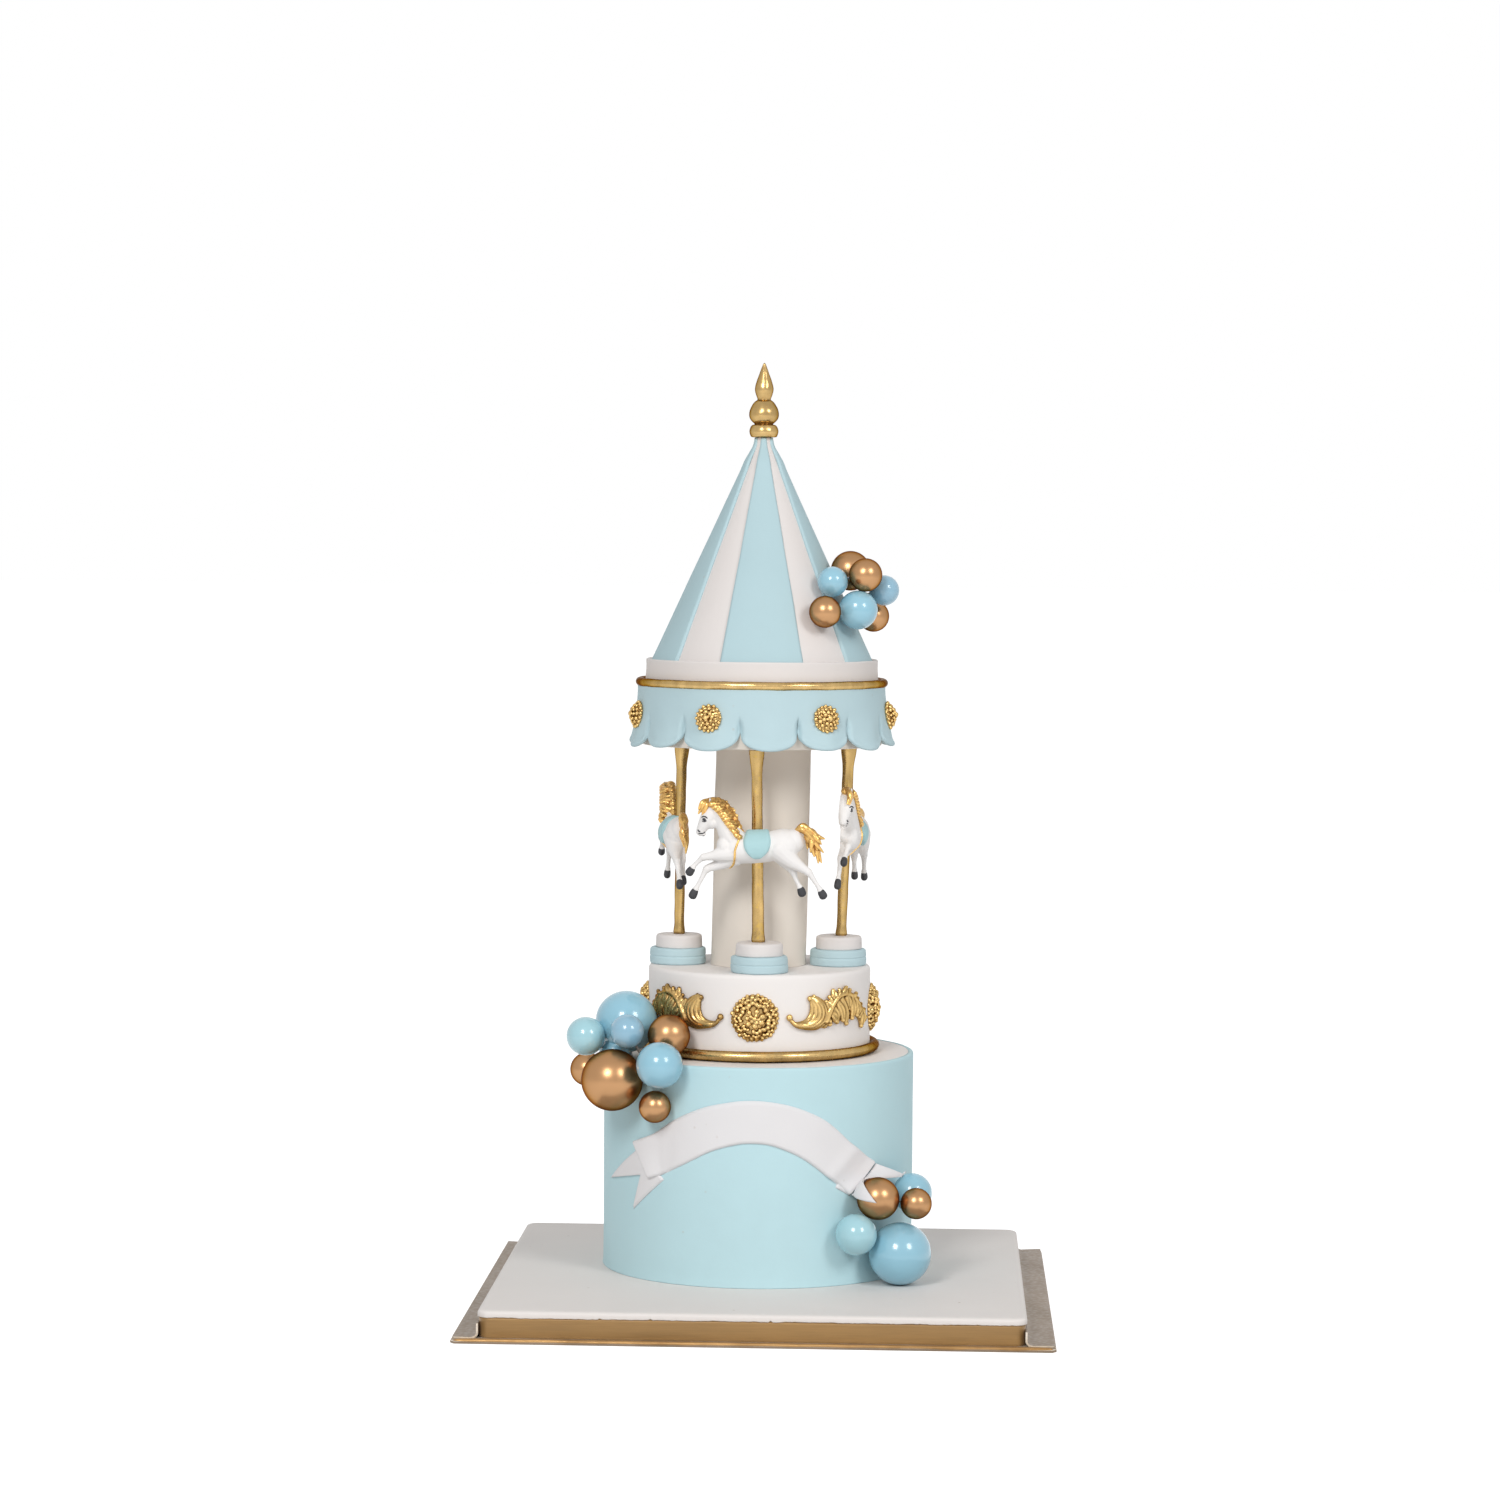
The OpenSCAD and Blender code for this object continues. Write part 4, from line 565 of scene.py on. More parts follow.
# a place on the edge of a rounded square, by its share of the way round, and the way out
def squareSpot(share, half, corner):
    straight = 2 * (half[0] - corner), 2 * (half[1] - corner)
    arc = math.pi * corner / 2
    sides = [straight[1], arc, straight[0], arc, straight[1], arc, straight[0], arc]
    s = (share % 1.0) * sum(sides)
    x, y = half[0] - corner, half[1] - corner
    starts = [(half[0], -y), (x, y), (x, half[1]), (-x, y), (-half[0], y), (-x, -y), (-x, -half[1]), (x, -y)]
    for i, length in enumerate(sides):
        if s <= length or i == 7:
            a = math.radians(i // 2 * 90)
            if i % 2 == 0:
                return Vector(starts[i]) + Vector((-math.sin(a), math.cos(a))) * s, Vector((math.cos(a), math.sin(a)))
            a += s / corner
            out = Vector((math.cos(a), math.sin(a)))
            return Vector(starts[i]) + out * corner, out
        s -= length


# a slab or ring whose outline is a rounded square; the profile is (offset outward, height)
def squareTurned(profile, middle, half, corner, steps, ripple=None):
    bm = lathe([(100 + offset, z) for offset, z in profile], steps)

    def shape(co):
        share = (math.atan2(co.y, co.x) / (2 * math.pi)) % 1.0
        rim, way = squareSpot(share, half, corner)
        offset = math.hypot(co.x, co.y) - 100
        z = co.z
        if ripple:
            offset, z = ripple(share, offset, z)
        at = rim + way * max(offset, -4)
        if offset < -4:
            at = at * ((half[0] + offset) / (half[0] - 4))  # inside the rim the outline shrinks to the middle
        return Vector((middle[0] + at.x, middle[1] + at.y, z))

    onto(bm, shape)
    outwards(bm)
    return bm


def trayPiece():
    w, d = tray["size"]
    mx, my = tray["middle"]
    card = tray["card"]
    plate = outline([(-60, 0.0, 0), (-0.3, 0.0, 0), (0, 0.3, 0), (0, card - 0.25, 0), (-0.35, card, 0),
                     (-60, card, 0)], 20)
    bm = squareTurned(plate, (mx, my), (w / 2, d / 2), 3, 320)
    closeHoles(bm)
    hem = tray["hem"]
    front = my - d / 2
    # a strip of the plate near the front takes the pale foil: a painted reflection of the bright ribbon and backdrop
    for f in bm.faces:
        f.material_index = 2 if f.calc_center_median().y < front + 12 and f.calc_center_median().z > card - 0.5 else 0

    def hemShape(u, v):
        a = 2 * math.pi * u
        x = mx - w / 2 + 1.6 + (w - 3.2) * v
        soft = 1 + 0.1 * noiseAt(x * 0.05, 3, a)
        end = min(1.0, math.sqrt(max(0.0, 1 - (abs(2 * v - 1) ** 60))))
        return Vector((x, front + hem + math.cos(a) * hem * soft * end, hem + math.sin(a) * hem * end * soft * 0.98))

    count = len(bm.faces)
    gridSurface(hemShape, 20, 260, bm)
    bm.faces.ensure_lookup_table()
    # the hem's lowest strip takes the dark foil: a painted contact shadow where it meets the floor
    for f in bm.faces[count:]:
        f.material_index = 1 if f.calc_center_median().z > 0.75 else 3
    # side flaps: folded in over the tray, then curled up against the board
    for side, reach in ((-1, tray["flapLeft"]), (1, tray["flapRight"])):
        rise, bend, fold = tray["flapRise"], tray["flapBend"], tray["fold"]
        edgeX = mx + side * w / 2
        length = d - tray["flapFront"] - tray["flapBack"]

        def section(t):
            # along the flap's middle line, from the fold to its free lip
            flatRun = reach - bend - fold
            lengths = (math.pi * fold, flatRun, math.pi / 2 * bend, rise - 3.2 - bend)
            s = t * sum(lengths)
            low = card + fold - 0.55
            if s < lengths[0]:
                a = math.pi * s / lengths[0]
                return fold - math.sin(a) * fold, low + fold - math.cos(a) * fold - fold + 0.1
            s -= lengths[0]
            if s < lengths[1]:
                return fold + s, low + fold + 0.1
            s -= lengths[1]
            if s < lengths[2]:
                a = math.pi / 2 * s / lengths[2]
                return fold + flatRun + math.sin(a) * bend, low + fold + bend - math.cos(a) * bend + 0.1
            return fold + flatRun + bend, low + fold + bend + 0.1 + s - lengths[2]

        def flapShape(u, v):
            out, z = section(u)
            y = my - d / 2 + tray["flapFront"] + length * v
            far = smoothStep(0.55, 1.0, v)
            n = noiseAt(y * 0.02, side * 4.0, u * 1.2)
            n2 = noiseAt(y * 0.11, side * 9.0, u * 2.0)
            lift = u * u
            out = min(out - 0.6 * lift * (1.2 * abs(n) + far * 1.6), reach - 0.62)
            z += lift * (0.9 * n + 0.35 * n2 - far * 1.6 * (1 + n)) - 0.5 * lift * smoothStep(0.1, 0.0, v)
            return Vector((edgeX - side * max(out, 0.58), y, z))

        part = gridSurface(flapShape, 40, 200)
        if side > 0:
            bmesh.ops.reverse_faces(part, faces=part.faces)
        bmesh.ops.solidify(part, geom=part.faces, thickness=tray["flapCard"])
        for f in addPart(bm, part):
            f.material_index = 2 if abs(f.normal.y) > 0.8 and f.calc_center_median().y < my else 0
    piece = finishPiece(bm, "trayOfFoilCard", "base", [trayFoil, hemFoil, paleCardAndPaintedReflection, paintedShadowFoil],
                        ["card_tray"])
    soft = piece.modifiers.new("edges", "BEVEL")
    soft.width, soft.segments, soft.limit_method, soft.angle_limit = 0.0002, 2, "ANGLE", math.radians(50)


trayPiece()

slab = {"middle": (3.6, -19.3), "half": 152.5, "corner": 6.0, "proud": 1.4, "lip": 1.3, "thick": 2.9}


def boardPastePiece():
    half, top = slab["half"], level["boardTop"] + slab["thick"]
    low = level["boardTop"] - slab["lip"]
    proud = slab["proud"]
    profile = outline([(-99.99, top, 0), (-40, top, 0), (proud, top, 3.4), (proud, low, 0.9), (0.1, low, 0),
                       (0.1, level["boardTop"], 0), (-30, level["boardTop"], 0)], 1.2)
    profile = [p for i, p in enumerate(profile) if p.x > -8 or i % 12 == 0 or i == len(profile) - 1]

    def ripple(share, offset, z):
        c = Vector((math.cos(share * 2 * math.pi) * 14, math.sin(share * 2 * math.pi) * 14, 0))
        n, n2 = noise.noise(c), noise.noise(c * 6 + Vector((5, 5, 5)))
        hang = smoothStep(top - 1.0, low, z) * smoothStep(-1.0, 0.6, offset)
        z -= hang * (0.35 * n + 0.22 * n2) - 0.1 * hang
        nick = max(0.0, noise.noise(c * 11)) ** 3 * 2.6
        z += hang * nick
        return offset + hang * 0.18 * n2, z

    bm = squareTurned(profile, slab["middle"], (half, half), slab["corner"], 900, ripple)
    finishPiece(bm, "boardPaste", "base", boardPaste, ["board_paste"])


boardPastePiece()

ribbon = {"thick": 0.5, "height": 11.5, "start": 0.375}  # start is the lap's share of the way round


def ribbonPiece():
    half, corner = slab["half"] + 0.06, slab["corner"]
    mx, my = slab["middle"]

    def shape(u, v):
        share = ribbon["start"] + v
        rim, way = squareSpot(share, (half, half), corner)
        n = noiseAt(math.cos(share * 6.283) * 9, math.sin(share * 6.283) * 9, 2)
        at = rim + way * (0.02 + 0.1 * max(0.0, n) * math.sin(math.pi * u))
        return Vector((mx + at.x, my + at.y, level["boardZ"] + ribbon["height"] * u + 0.05))

    bm = gridSurface(shape, 8, 700)
    outwards(bm)
    if sum(f.normal.dot(f.calc_center_median() - Vector((mx, my, 6))) for f in bm.faces) < 0:
        bmesh.ops.reverse_faces(bm, faces=bm.faces)
    bmesh.ops.solidify(bm, geom=bm.faces, thickness=-ribbon["thick"])
    outwards(bm)
    piece = finishPiece(bm, "boardRibbon", "base", ribbonSatin, ["board_ribbon"], recalc=False)


ribbonPiece()
dress(board, "base_board", "drum_lid", "platform_board")
dress(foam, "drum_former", "platform_former")
dress(dowelWood, "centre_dowel")
print("tray and board laid")

drum = {"radius": 92.0, "skin": 3.0, "rim": 2.0}


def drumPiece():
    r, skin, low, top = drum["radius"], drum["skin"], level["drumZ"], level["drumTop"]
    profile = outline([(r - skin, low, 0), (r, low, 0.7), (r, top, drum["rim"]), (r - skin, top - 0.25, 0),
                       (r - skin, low, 0)], 3.2)
    bm = lathe(profile, 720)

    def shape(co):
        out = math.hypot(co.x, co.y)
        if out < r - skin + 0.6:
            return co
        a = math.degrees(math.atan2(co.x, co.y))  # 0 at the back, where the skin's ends meet
        n = noise.noise(co * 0.018 + Vector((7, 1, 3)))
        fineN = noise.noise(Vector((co.x, co.y, co.z * 0.5)) * 0.1)
        seam = 0.3 * smoothStep(14.0, 0.6, a) * smoothStep(0.0, 0.5, a) - 0.45 * math.exp(-(a / 0.5) ** 2)
        grow = 0.28 * n + 0.05 * fineN + seam
        grow += 0.35 * smoothStep(low + 2.4, low, co.z)  # the trimmed foot spreads a little
        edge = smoothStep(top - 2.5, top - 0.4, co.z)
        return Vector((co.x * (1 + grow / out), co.y * (1 + grow / out),
                       co.z + edge * 0.25 * noise.noise(Vector((co.x, co.y, 0)) * 0.05)))

    onto(bm, shape)
    finishPiece(bm, "drumPaste", "base", bluePaste, ["drum_paste"])
    lid = lathe(outline([(2.6, top - 2.4, 0), (2.6, top, 0.4), (r - skin - 0.05, top - 0.15, 0.5),
                         (r - skin - 0.05, top - 2.4, 0), (2.6, top - 2.4, 0)], 4), 240)
    onto(lid, lambda co: co + Vector((0, 0, 0.12 * noise.noise(co * 0.05) if co.z > top - 1 else 0)))
    finishPiece(lid, "lidPaste", "base", whitePaste, ["lid_paste"])


drumPiece()

drumBlue = [(-59.4, 148.6, 18.1, -21.5, blueBall), (-58.3, 141.6, 11.3, 12.8, paleBall),
            (-45.7, 146, 9.9, 1.2, greyBall), (-58.5, 130.5, 9.5, -5.0, blueBall),
            (-30.6, 128.8, 13.5, 0.1, blueBall), (61, 50.8, 11.6, 2, blueBall), (50.3, 18.3, 18.2, 1, blueBall),
            (35.4, 31.3, 12, 0.1, paleBall)]
drumGold = [(-37, 143.2, 12.3, -21.4), (-48.4, 117.7, 18.0, 0.1), (-85.7, 115.5, 10, 0.4), (-34, 103.8, 9.3, 0.1),
            (43.1, 51.3, 12.4, 2), (51.8, 48.2, 9.1, 19.4)]
coneBlue = [(51.7, 47.3, 8.9, 0.1, blueBall), (79.4, 42.2, 9.0, 15.6, greyBall), (61.2, 30.9, 11.4, 1.2, blueBall)]
coneGold = [(75.4, 53.6, 11.7, 0.1), (63.4, 51.4, 9.8, 14.4), (38, 30, 9.3, 0.1), (91.6, 26.7, 9.3, 2)]


def drumSpot(ball):
    return roundAt(ball[0], drum["radius"] + ball[2] + ball[3], level["drumZ"] + ball[1])


banner = {
    "upper": [(-77.6, 97.8), (-62.5, 103.6), (-48, 112.8), (-30, 121), (-15, 124.7), (-3.6, 126.2), (9, 125.7),
              (24, 122.7), (39.4, 116.4), (49.8, 109.5), (60.9, 100), (71, 92.8), (78.2, 87.8)],
    "lower": [(-64.0, 77.4), (-57.6, 79.6), (-51, 82.4), (-37, 89.4), (-24, 96), (-11, 100), (-1.7, 101.3),
              (10.4, 100.3), (23.3, 95.5), (32.9, 90), (42.9, 82.5), (51.6, 76.0), (59.0, 69.8)],
    "tail": [(-108.7, 72.0), (-72.6, 78.4), (-79.8, 57.4)],  # upper tip, notch, lower tip
    "tailHigh": (-73.4, 95.0), "tailLow": (-54.6, 77.4),
    "under": [(50.4, 74.4), (60.2, 69.0), (60.0, 74.0), (52, 79.6)],
    # the right tail, flat and with its distance from the wall: its root, and its tips and notch
    "drapeRoot": [(60.4, -1.6, 69.6), (69.6, -1.8, 78.0), (79.0, -1.6, 86.6)],
    "drapeTips": [(61.3, -24.6, 67.8), (64.2, -6.5, 79.4), (97.5, -11.0, 77.4)],
    "thick": 1.7, "edge": 0.75, "drapeHalf": 0.6, "overBall": 1.3,
}


# a flat strip of paste on the drum, with soft edges and its back on the wall
def patchSlab(shape, size, thick, across, along, rise=None):
    def outer(u, v):
        p = shape(u, v)
        side = min(min(u, 1 - u) * size[0], min(v, 1 - v) * size[1])
        lift = thick * (1 - max(0.0, 1 - side / banner["edge"]) ** 2 * 0.85)
        return Vector((p.x, -lift - (rise(u, v) if rise else 0.0), p.y))

    bm = gridSurface(outer, across, along)
    closeBack(bm, lambda co: Vector((co.x, 0.05, co.z)))
    return bm


def bannerPiece():
    upper, lower = smoothLine(banner["upper"], 6), smoothLine(banner["lower"], 6)

    def strip(u, v):
        return along(lower, u).lerp(along(upper, u), v)

    def stripRise(u, v):
        folds = -0.3 * math.exp(-((u - 0.16) / 0.03) ** 2) + 0.9 * math.exp(-((u - 0.86) / 0.03) ** 2)
        return (0.25 * noiseAt(u * 7, v * 2, 1) + folds
                + 2.4 * smoothStep(0.12, 0.015, u) + 1.6 * smoothStep(0.93, 1.0, u))

    # the left tail is a swallow tail: two tapering halves that share a middle line
    def leftTail(u, v):
        outerTop, notch, outerLow = (Vector(p) for p in banner["tail"])
        inner = Vector(banner["tailLow"]).lerp(Vector(banner["tailHigh"]), v)
        outer = outerLow.lerp(notch, v * 2) if v < 0.5 else notch.lerp(outerTop, v * 2 - 1)
        return inner.lerp(outer, u)

    def tailRise(u, v):
        return 0.3 * math.sin(u * 3.1) + 0.2 * noiseAt(u * 3, v * 2, 8)

    # what shows of the strip's underside at the right fold
    def underside(u, v):
        a, b, c, d = (Vector(p) for p in banner["under"])
        return a.lerp(b, u).lerp(d.lerp(c, u), v)

    bm = patchSlab(strip, (150, 25), banner["thick"], 150, 22, stripRise)
    addPart(bm, patchSlab(leftTail, (36, 24), 1.2, 36, 24, tailRise))
    addPart(bm, patchSlab(underside, (10, 6), 1.0, 12, 8))
    wrap = wrapped(drum["radius"] + 0.1)
    onto(bm, wrap)
    # the right tail lifts off the wall and rests over the balls
    root, tips = ([Vector(p) for p in banner[key]] for key in ("drapeRoot", "drapeTips"))

    def draped(u, v):
        k, t = (0, v * 2) if v < 0.5 else (1, v * 2 - 1)
        way = math.sqrt(1 - (1 - u) ** 2) if u < 1 else 1.0
        a, b = root[k].lerp(root[k + 1], t), tips[k].lerp(tips[k + 1], t)
        at = wrap(a.lerp(b, u) + Vector((0, -2.2 * way * math.sin(math.pi * min(u, 1)), 0)))
        for ball in drumGold + drumBlue:
            middle = drumSpot(ball)
            away, reach = at - middle, ball[2] + banner["overBall"]
            if away.length < reach:
                at = middle + away.normalized() * reach
        return at

    def sheet(u, v):
        # out along the front and back along the rear, meeting at the edges
        front = v <= 0.5
        w = min(1.0, max(0.0, v * 2 if front else 2 - v * 2))
        at, e = draped(u, w), 0.02
        across = draped(min(1, u + e), w) - draped(max(0, u - e), w)
        up = draped(u, min(1, w + e)) - draped(u, max(0, w - e))
        out = across.cross(up).normalized()
        side = min(u * 22, (1 - u) * 22, w * 26, (1 - w) * 26)
        half = banner["drapeHalf"] * math.sqrt(1 - (1 - min(1.0, side / 0.8)) ** 2)
        return at + out * (half if front else -half)

    gridSurface(sheet, 48, 120, bm)
    finishPiece(bm, "bannerSheet", "base", bannerPaste, ["banner"])


bannerPiece()
print("drum and banner set")

cone = {"foot": 64.0, "neck": 9.6, "neckHigh": 118.0, "top": 4.6, "high": 132.0, "stripe": 1.6, "stripes": 5,
        "stripeTurn": 2, "stripeWide": 45}


def coneWall(h):
    return cone["foot"] - (cone["foot"] - cone["neck"]) * h / cone["neckHigh"]


coneSlope = math.atan((cone["foot"] - cone["neck"]) / cone["neckHigh"])


def coneSpot(ball):
    return roundAt(ball[0], coneWall(ball[1]) + (ball[2] + ball[3] + cone["stripe"]) / math.cos(coneSlope),
                   level["bandTop"] + ball[1])


ballForm = {"neck": 8, "smallNeck": 11, "small": 12, "steps": 40, "sides": 72, "soft": 0.004}  # necks in degrees


# a hollow balloon ball: turned about its pick, with a small gathered neck where the pick goes in
def ballCluster(balls, spot, seat, name, body, node):
    bm = bmesh.new()
    finishes = []
    for n, ball in enumerate(balls):
        finish = ball[4] if len(ball) > 4 else goldBall
        if finish not in finishes:
            finishes.append(finish)
        r, middle = ball[2], spot(ball)
        neck = math.radians(ballForm["neck" if r > ballForm["small"] else "smallNeck"])
        steps = ballForm["steps"]
        angles = [neck + (math.pi - neck) * k / steps for k in range(steps + 1)]
        profile = [(0.0, r * 0.93), (r * math.sin(neck) * 0.75, r * 0.945), (r * math.sin(neck) * 0.95, r * 0.975)]
        profile += [(r * math.sin(a), r * math.cos(a)) for a in angles]
        part = lathe(profile, ballForm["sides"])
        way = (seat(ball) - middle).normalized()
        turned = Matrix.Translation(middle) @ way.to_track_quat("Z", "Y").to_matrix().to_4x4()

        def shape(co):
            soft = 1 + ballForm["soft"] * noise.noise(co / r * 1.2 + Vector((n, 2, 5)))
            return turned @ (co * soft)

        onto(part, shape)
        for f in addPart(bm, part):
            f.material_index = finishes.index(finish)
    finishPiece(bm, name, body, finishes, [node])


seatDepth = 8  # how deep a pick goes, in millimetres


def drumSeat(ball):
    return roundAt(ball[0], drum["radius"] - seatDepth, min(drumSpot(ball).z, level["drumTop"] - seatDepth))


def coneSeat(ball):
    h = max(ball[1] - 6, seatDepth)
    return roundAt(ball[0], coneWall(h) - seatDepth, level["bandTop"] + h)


ballCluster(drumBlue, drumSpot, drumSeat, "drumBallsBlue", "base", "drum_balls_blue")
ballCluster(drumGold, drumSpot, drumSeat, "drumBallsGold", "base", "drum_balls_gold")
ballCluster(coneBlue, coneSpot, coneSeat, "canopyBallsBlue", "carousel", "canopy_balls_blue")
ballCluster(coneGold, coneSpot, coneSeat, "canopyBallsGold", "carousel", "canopy_balls_gold")
dress(steel, "drum_ball_picks", "canopy_ball_picks")
print("balls placed")

hole = 4.1  # round the dowel
platform = {"radius": 66.0, "skin": 3.0, "edge": 3.0, "ring": 3.0, "ringSunk": 0.4}
column = {"radius": 27.9, "wider": 1.015, "foot": -0.8, "lean": 2.2}  # lean is its drift over its height
pedestal = {"radius": 16.8, "high": 9.7, "cap": 13.6, "top": 17.5, "hole": 3.2, "shifts": (1.7, 0, -1.6)}
pole = {"circle": 48.4, "turns": (0, -90, 90), "leans": (-0.9, 0.5, 1.9), "shifts": (1.2, 0, -0.6),
        "radii": (3.35, 3.05, 3.15), "low": -9.6, "high": 140.6}


def pasteTurned(name, corners, finish, node, seed, steps, radial, pitch=3.0, fineness=0.05, extra=None):
    bm = lathe(outline(corners, pitch), steps)
    onto(bm, uneven(radial, fineness, seed, radial * 0.4))
    if extra:
        onto(bm, extra)
    finishPiece(bm, name, "carousel", finish, [node])


# a rolled ring of gold paste; where it is cut off at a wall, angles leave that side out
def rolledRing(name, node, out, z, radius, angles, rough):
    line = [Vector((out + radius * math.cos(a), z + radius * math.sin(a))) for a in map(math.radians, angles)]
    bm = lathe(line + line[:1], 360)
    onto(bm, uneven(*rough))
    finishPiece(bm, name, "carousel", paintedGold, [node])


r, skin, low, top = platform["radius"], platform["skin"], level["platformZ"], level["platformTop"]
platformLine = [(r - skin, low, 0), (r, low, 0.6), (r, top, platform["edge"]), (hole, top, 0.2),
                (hole, top - skin, 0), (r - skin, top - skin, 0.5), (r - skin, low, 0)]
pasteTurned("platformPaste", platformLine, whitePaste, "platform_paste", 3, 360, 0.12)
ringOut = platform["ring"] - platform["ringSunk"]
rolledRing("platformRing", "platform_ring", r + ringOut, low + ringOut, platform["ring"], range(-143, 143, 15),
           (0.12, 0.09, 12, 0.16))


def columnLean(co):
    if math.hypot(co.x, co.y) <= 6:  # the hole stays on the axis
        return co
    wider, high = column["wider"], level["columnTop"] - top
    return Vector((co.x * wider + column["foot"] + column["lean"] * (co.z - top) / high, co.y * wider, co.z))


c, low, high = column["radius"], top + 0.02, level["columnTop"] - 0.02
columnLine = [(hole, low, 0), (c + 0.3, low, 0.3), (c, top + 3, 2), (c - 0.1, level["columnTop"] - 3, 2),
              (c + 0.2, high, 0.2), (hole, high, 0), (hole, low, 0)]
pasteTurned("columnTurned", columnLine, columnPaste, "column", 5, 240, 0.3, fineness=0.035, extra=columnLean)


def pedestalPiece(name, node, corners, finish):
    bm = bmesh.new()
    for i, turn in enumerate(pole["turns"]):
        part = lathe(outline(corners, 1.6), 96)
        seed = i * 5 + corners[0][1]
        onto(part, uneven(0.28, 0.11, seed, 0.22))
        shift = roundAt(turn, pole["circle"], top + 0.02)
        shift += Vector((pedestal["shifts"][i] + 0.25 * math.sin(seed), 0.25 * math.cos(seed * 2), 0))
        onto(part, lambda co: co + shift)
        addPart(bm, part)
    finishPiece(bm, name, "carousel", finish, [node])


r, inner, high = pedestal["radius"], pedestal["hole"], pedestal["high"]
baseLine = [(inner, 0, 0), (r - 0.1, 0, 1.3), (r, 4.4, 0.9), (r - 0.55, 4.9, 0.4), (r - 0.1, 5.4, 0.7),
            (r - 0.3, high, 1.5), (inner, high, 0), (inner, 0, 0)]
pedestalPiece("pedestalBases", "pedestal_bases", baseLine, shadedBluePaste)
low, high = pedestal["high"] + 0.02, pedestal["top"]
capLine = [(inner, low, 0), (pedestal["cap"] + 0.2, low, 0.7), (pedestal["cap"], high, 2.0), (inner, high, 0),
           (inner, low, 0)]
pedestalPiece("pedestalCaps", "pedestal_caps", capLine, canopyPaste)


def poleMatrix(i):
    foot = roundAt(pole["turns"][i], pole["circle"], top) + Vector((pole["shifts"][i], 0, 0))
    return Matrix.Translation(foot) @ Matrix.Rotation(math.radians(pole["leans"][i]), 4, "Y")


poleBm = bmesh.new()
for i in range(3):
    at = poleMatrix(i)

    def poleShape(u, v):
        z = pole["low"] + (pole["high"] - pole["low"]) * v
        if v in (0.0, 1.0):
            return at @ Vector((0, 0, z))
        a = 2 * math.pi * u
        r = pole["radii"][i] + 0.3 * noiseAt(0, i * 3, z * 0.06)
        r += 0.2 * noiseAt(math.cos(a), math.sin(a) + i * 4, z * 0.12)
        if 18 < z < 131:
            r += 1.3 * smoothStep(116, 130, z) + 0.5 * smoothStep(24, 18, z)
        r += math.cos(2 * a + z * 0.03 + i) * 0.2 + math.cos(5 * a - z * 0.05 + i) * 0.07
        return at @ Vector((r * math.cos(a), r * math.sin(a), z))

    gridSurface(poleShape, 28, 150, poleBm)
finishPiece(poleBm, "poleRods", "carousel", poleGold, ["poles"])
print("platform stands")

ornament = {"height": (level["platformZ"] + level["platformTop"]) / 2, "rosette": 14.6, "scrollFit": 66 / 68.5,
            "voxel": 0.38, "smallVoxel": 0.26}


# a domed flower of beads and cupped petals in rings, facing -Y with its back at Y = 0
def rosetteClay(radius, rings, dome, voxel):
    bm = bmesh.new()
    lump(bm, (0, 0.6, 0), (radius * 0.95, dome * 0.55 + 0.6, radius * 0.95), fine=40)
    for k, (out, count, size, lift, twist, cup) in enumerate(rings):
        for n in range(count):
            a = 2 * math.pi * (n + twist + 0.12 * math.sin(n * 5.1 + k)) / count
            way = Vector((math.cos(a), 0, math.sin(a)))
            side = Vector((-math.sin(a), 0, math.cos(a)))
            vary = 1 + 0.16 * math.sin(n * 7.3 + k * 2.1)
            big = size * radius * vary
            middle = way * (out + 0.02 * math.sin(n * 3.7)) * radius + Vector((0, -lift * dome, 0))
            turn = Matrix((side, Vector((0, -1, 0)), way)).transposed().to_4x4()
            if not cup:
                lump(bm, middle, (big, big * 0.9, big), turn, 12)
                continue
            turn = turn @ Matrix.Rotation(math.radians(24), 4, "X")
            for half in (-1, 0, 1):  # a petal is three soft folds round a hollow
                spot = middle + side * half * big * 0.75 + way * big * (0.1 if half else 0.5)
                lump(bm, spot, (big * 0.5, big * 0.62, big * (0.62 if half else 0.5)), turn, 12)
    fused(bm, voxel, 1, 0.4)
    flatBack(bm)
    return bm


# copies one piece to several places
def stamped(clay, shapes, name, node, finish=carvedGold):
    held = bpy.data.meshes.new("stamp")
    clay.to_mesh(held)
    clay.free()
    bm = bmesh.new()
    for shape in shapes:
        start = len(bm.verts)
        bm.from_mesh(held)
        bm.verts.ensure_lookup_table()
        onto(bm, shape, bm.verts[start:])
    bpy.data.meshes.remove(held)
    finishPiece(bm, name, "carousel", finish, [node])


# on the platform's wall, and pressed flat where it would stand behind it
def onPlatform(turn, stretch=1.0):
    wall = wrapped(platform["radius"] + 0.05, turn)

    def shape(co):
        return wall(Vector((co.x * stretch, min(co.y, 0.0), co.z + ornament["height"])))

    return shape


# a ring of beads or petals: distance out, count, size, height, turn, and whether they are cupped
bigRings = [(0.9, 30, 0.075, 0.12, 0.0, False), (0.82, 24, 0.08, 0.3, 0.5, False), (0.7, 11, 0.14, 0.5, 0.5, True),
            (0.5, 8, 0.17, 0.78, 0.1, True), (0.3, 7, 0.11, 0.98, 0.4, False), (0.15, 5, 0.075, 1.14, 0.0, False),
            (0.0, 1, 0.09, 1.24, 0, False)]
clay = rosetteClay(ornament["rosette"], bigRings, 4.4, ornament["voxel"])
stamped(clay, [onPlatform(turn) for turn in (0, 90, 180, 270)], "platformRosettes", "platform_rosettes")


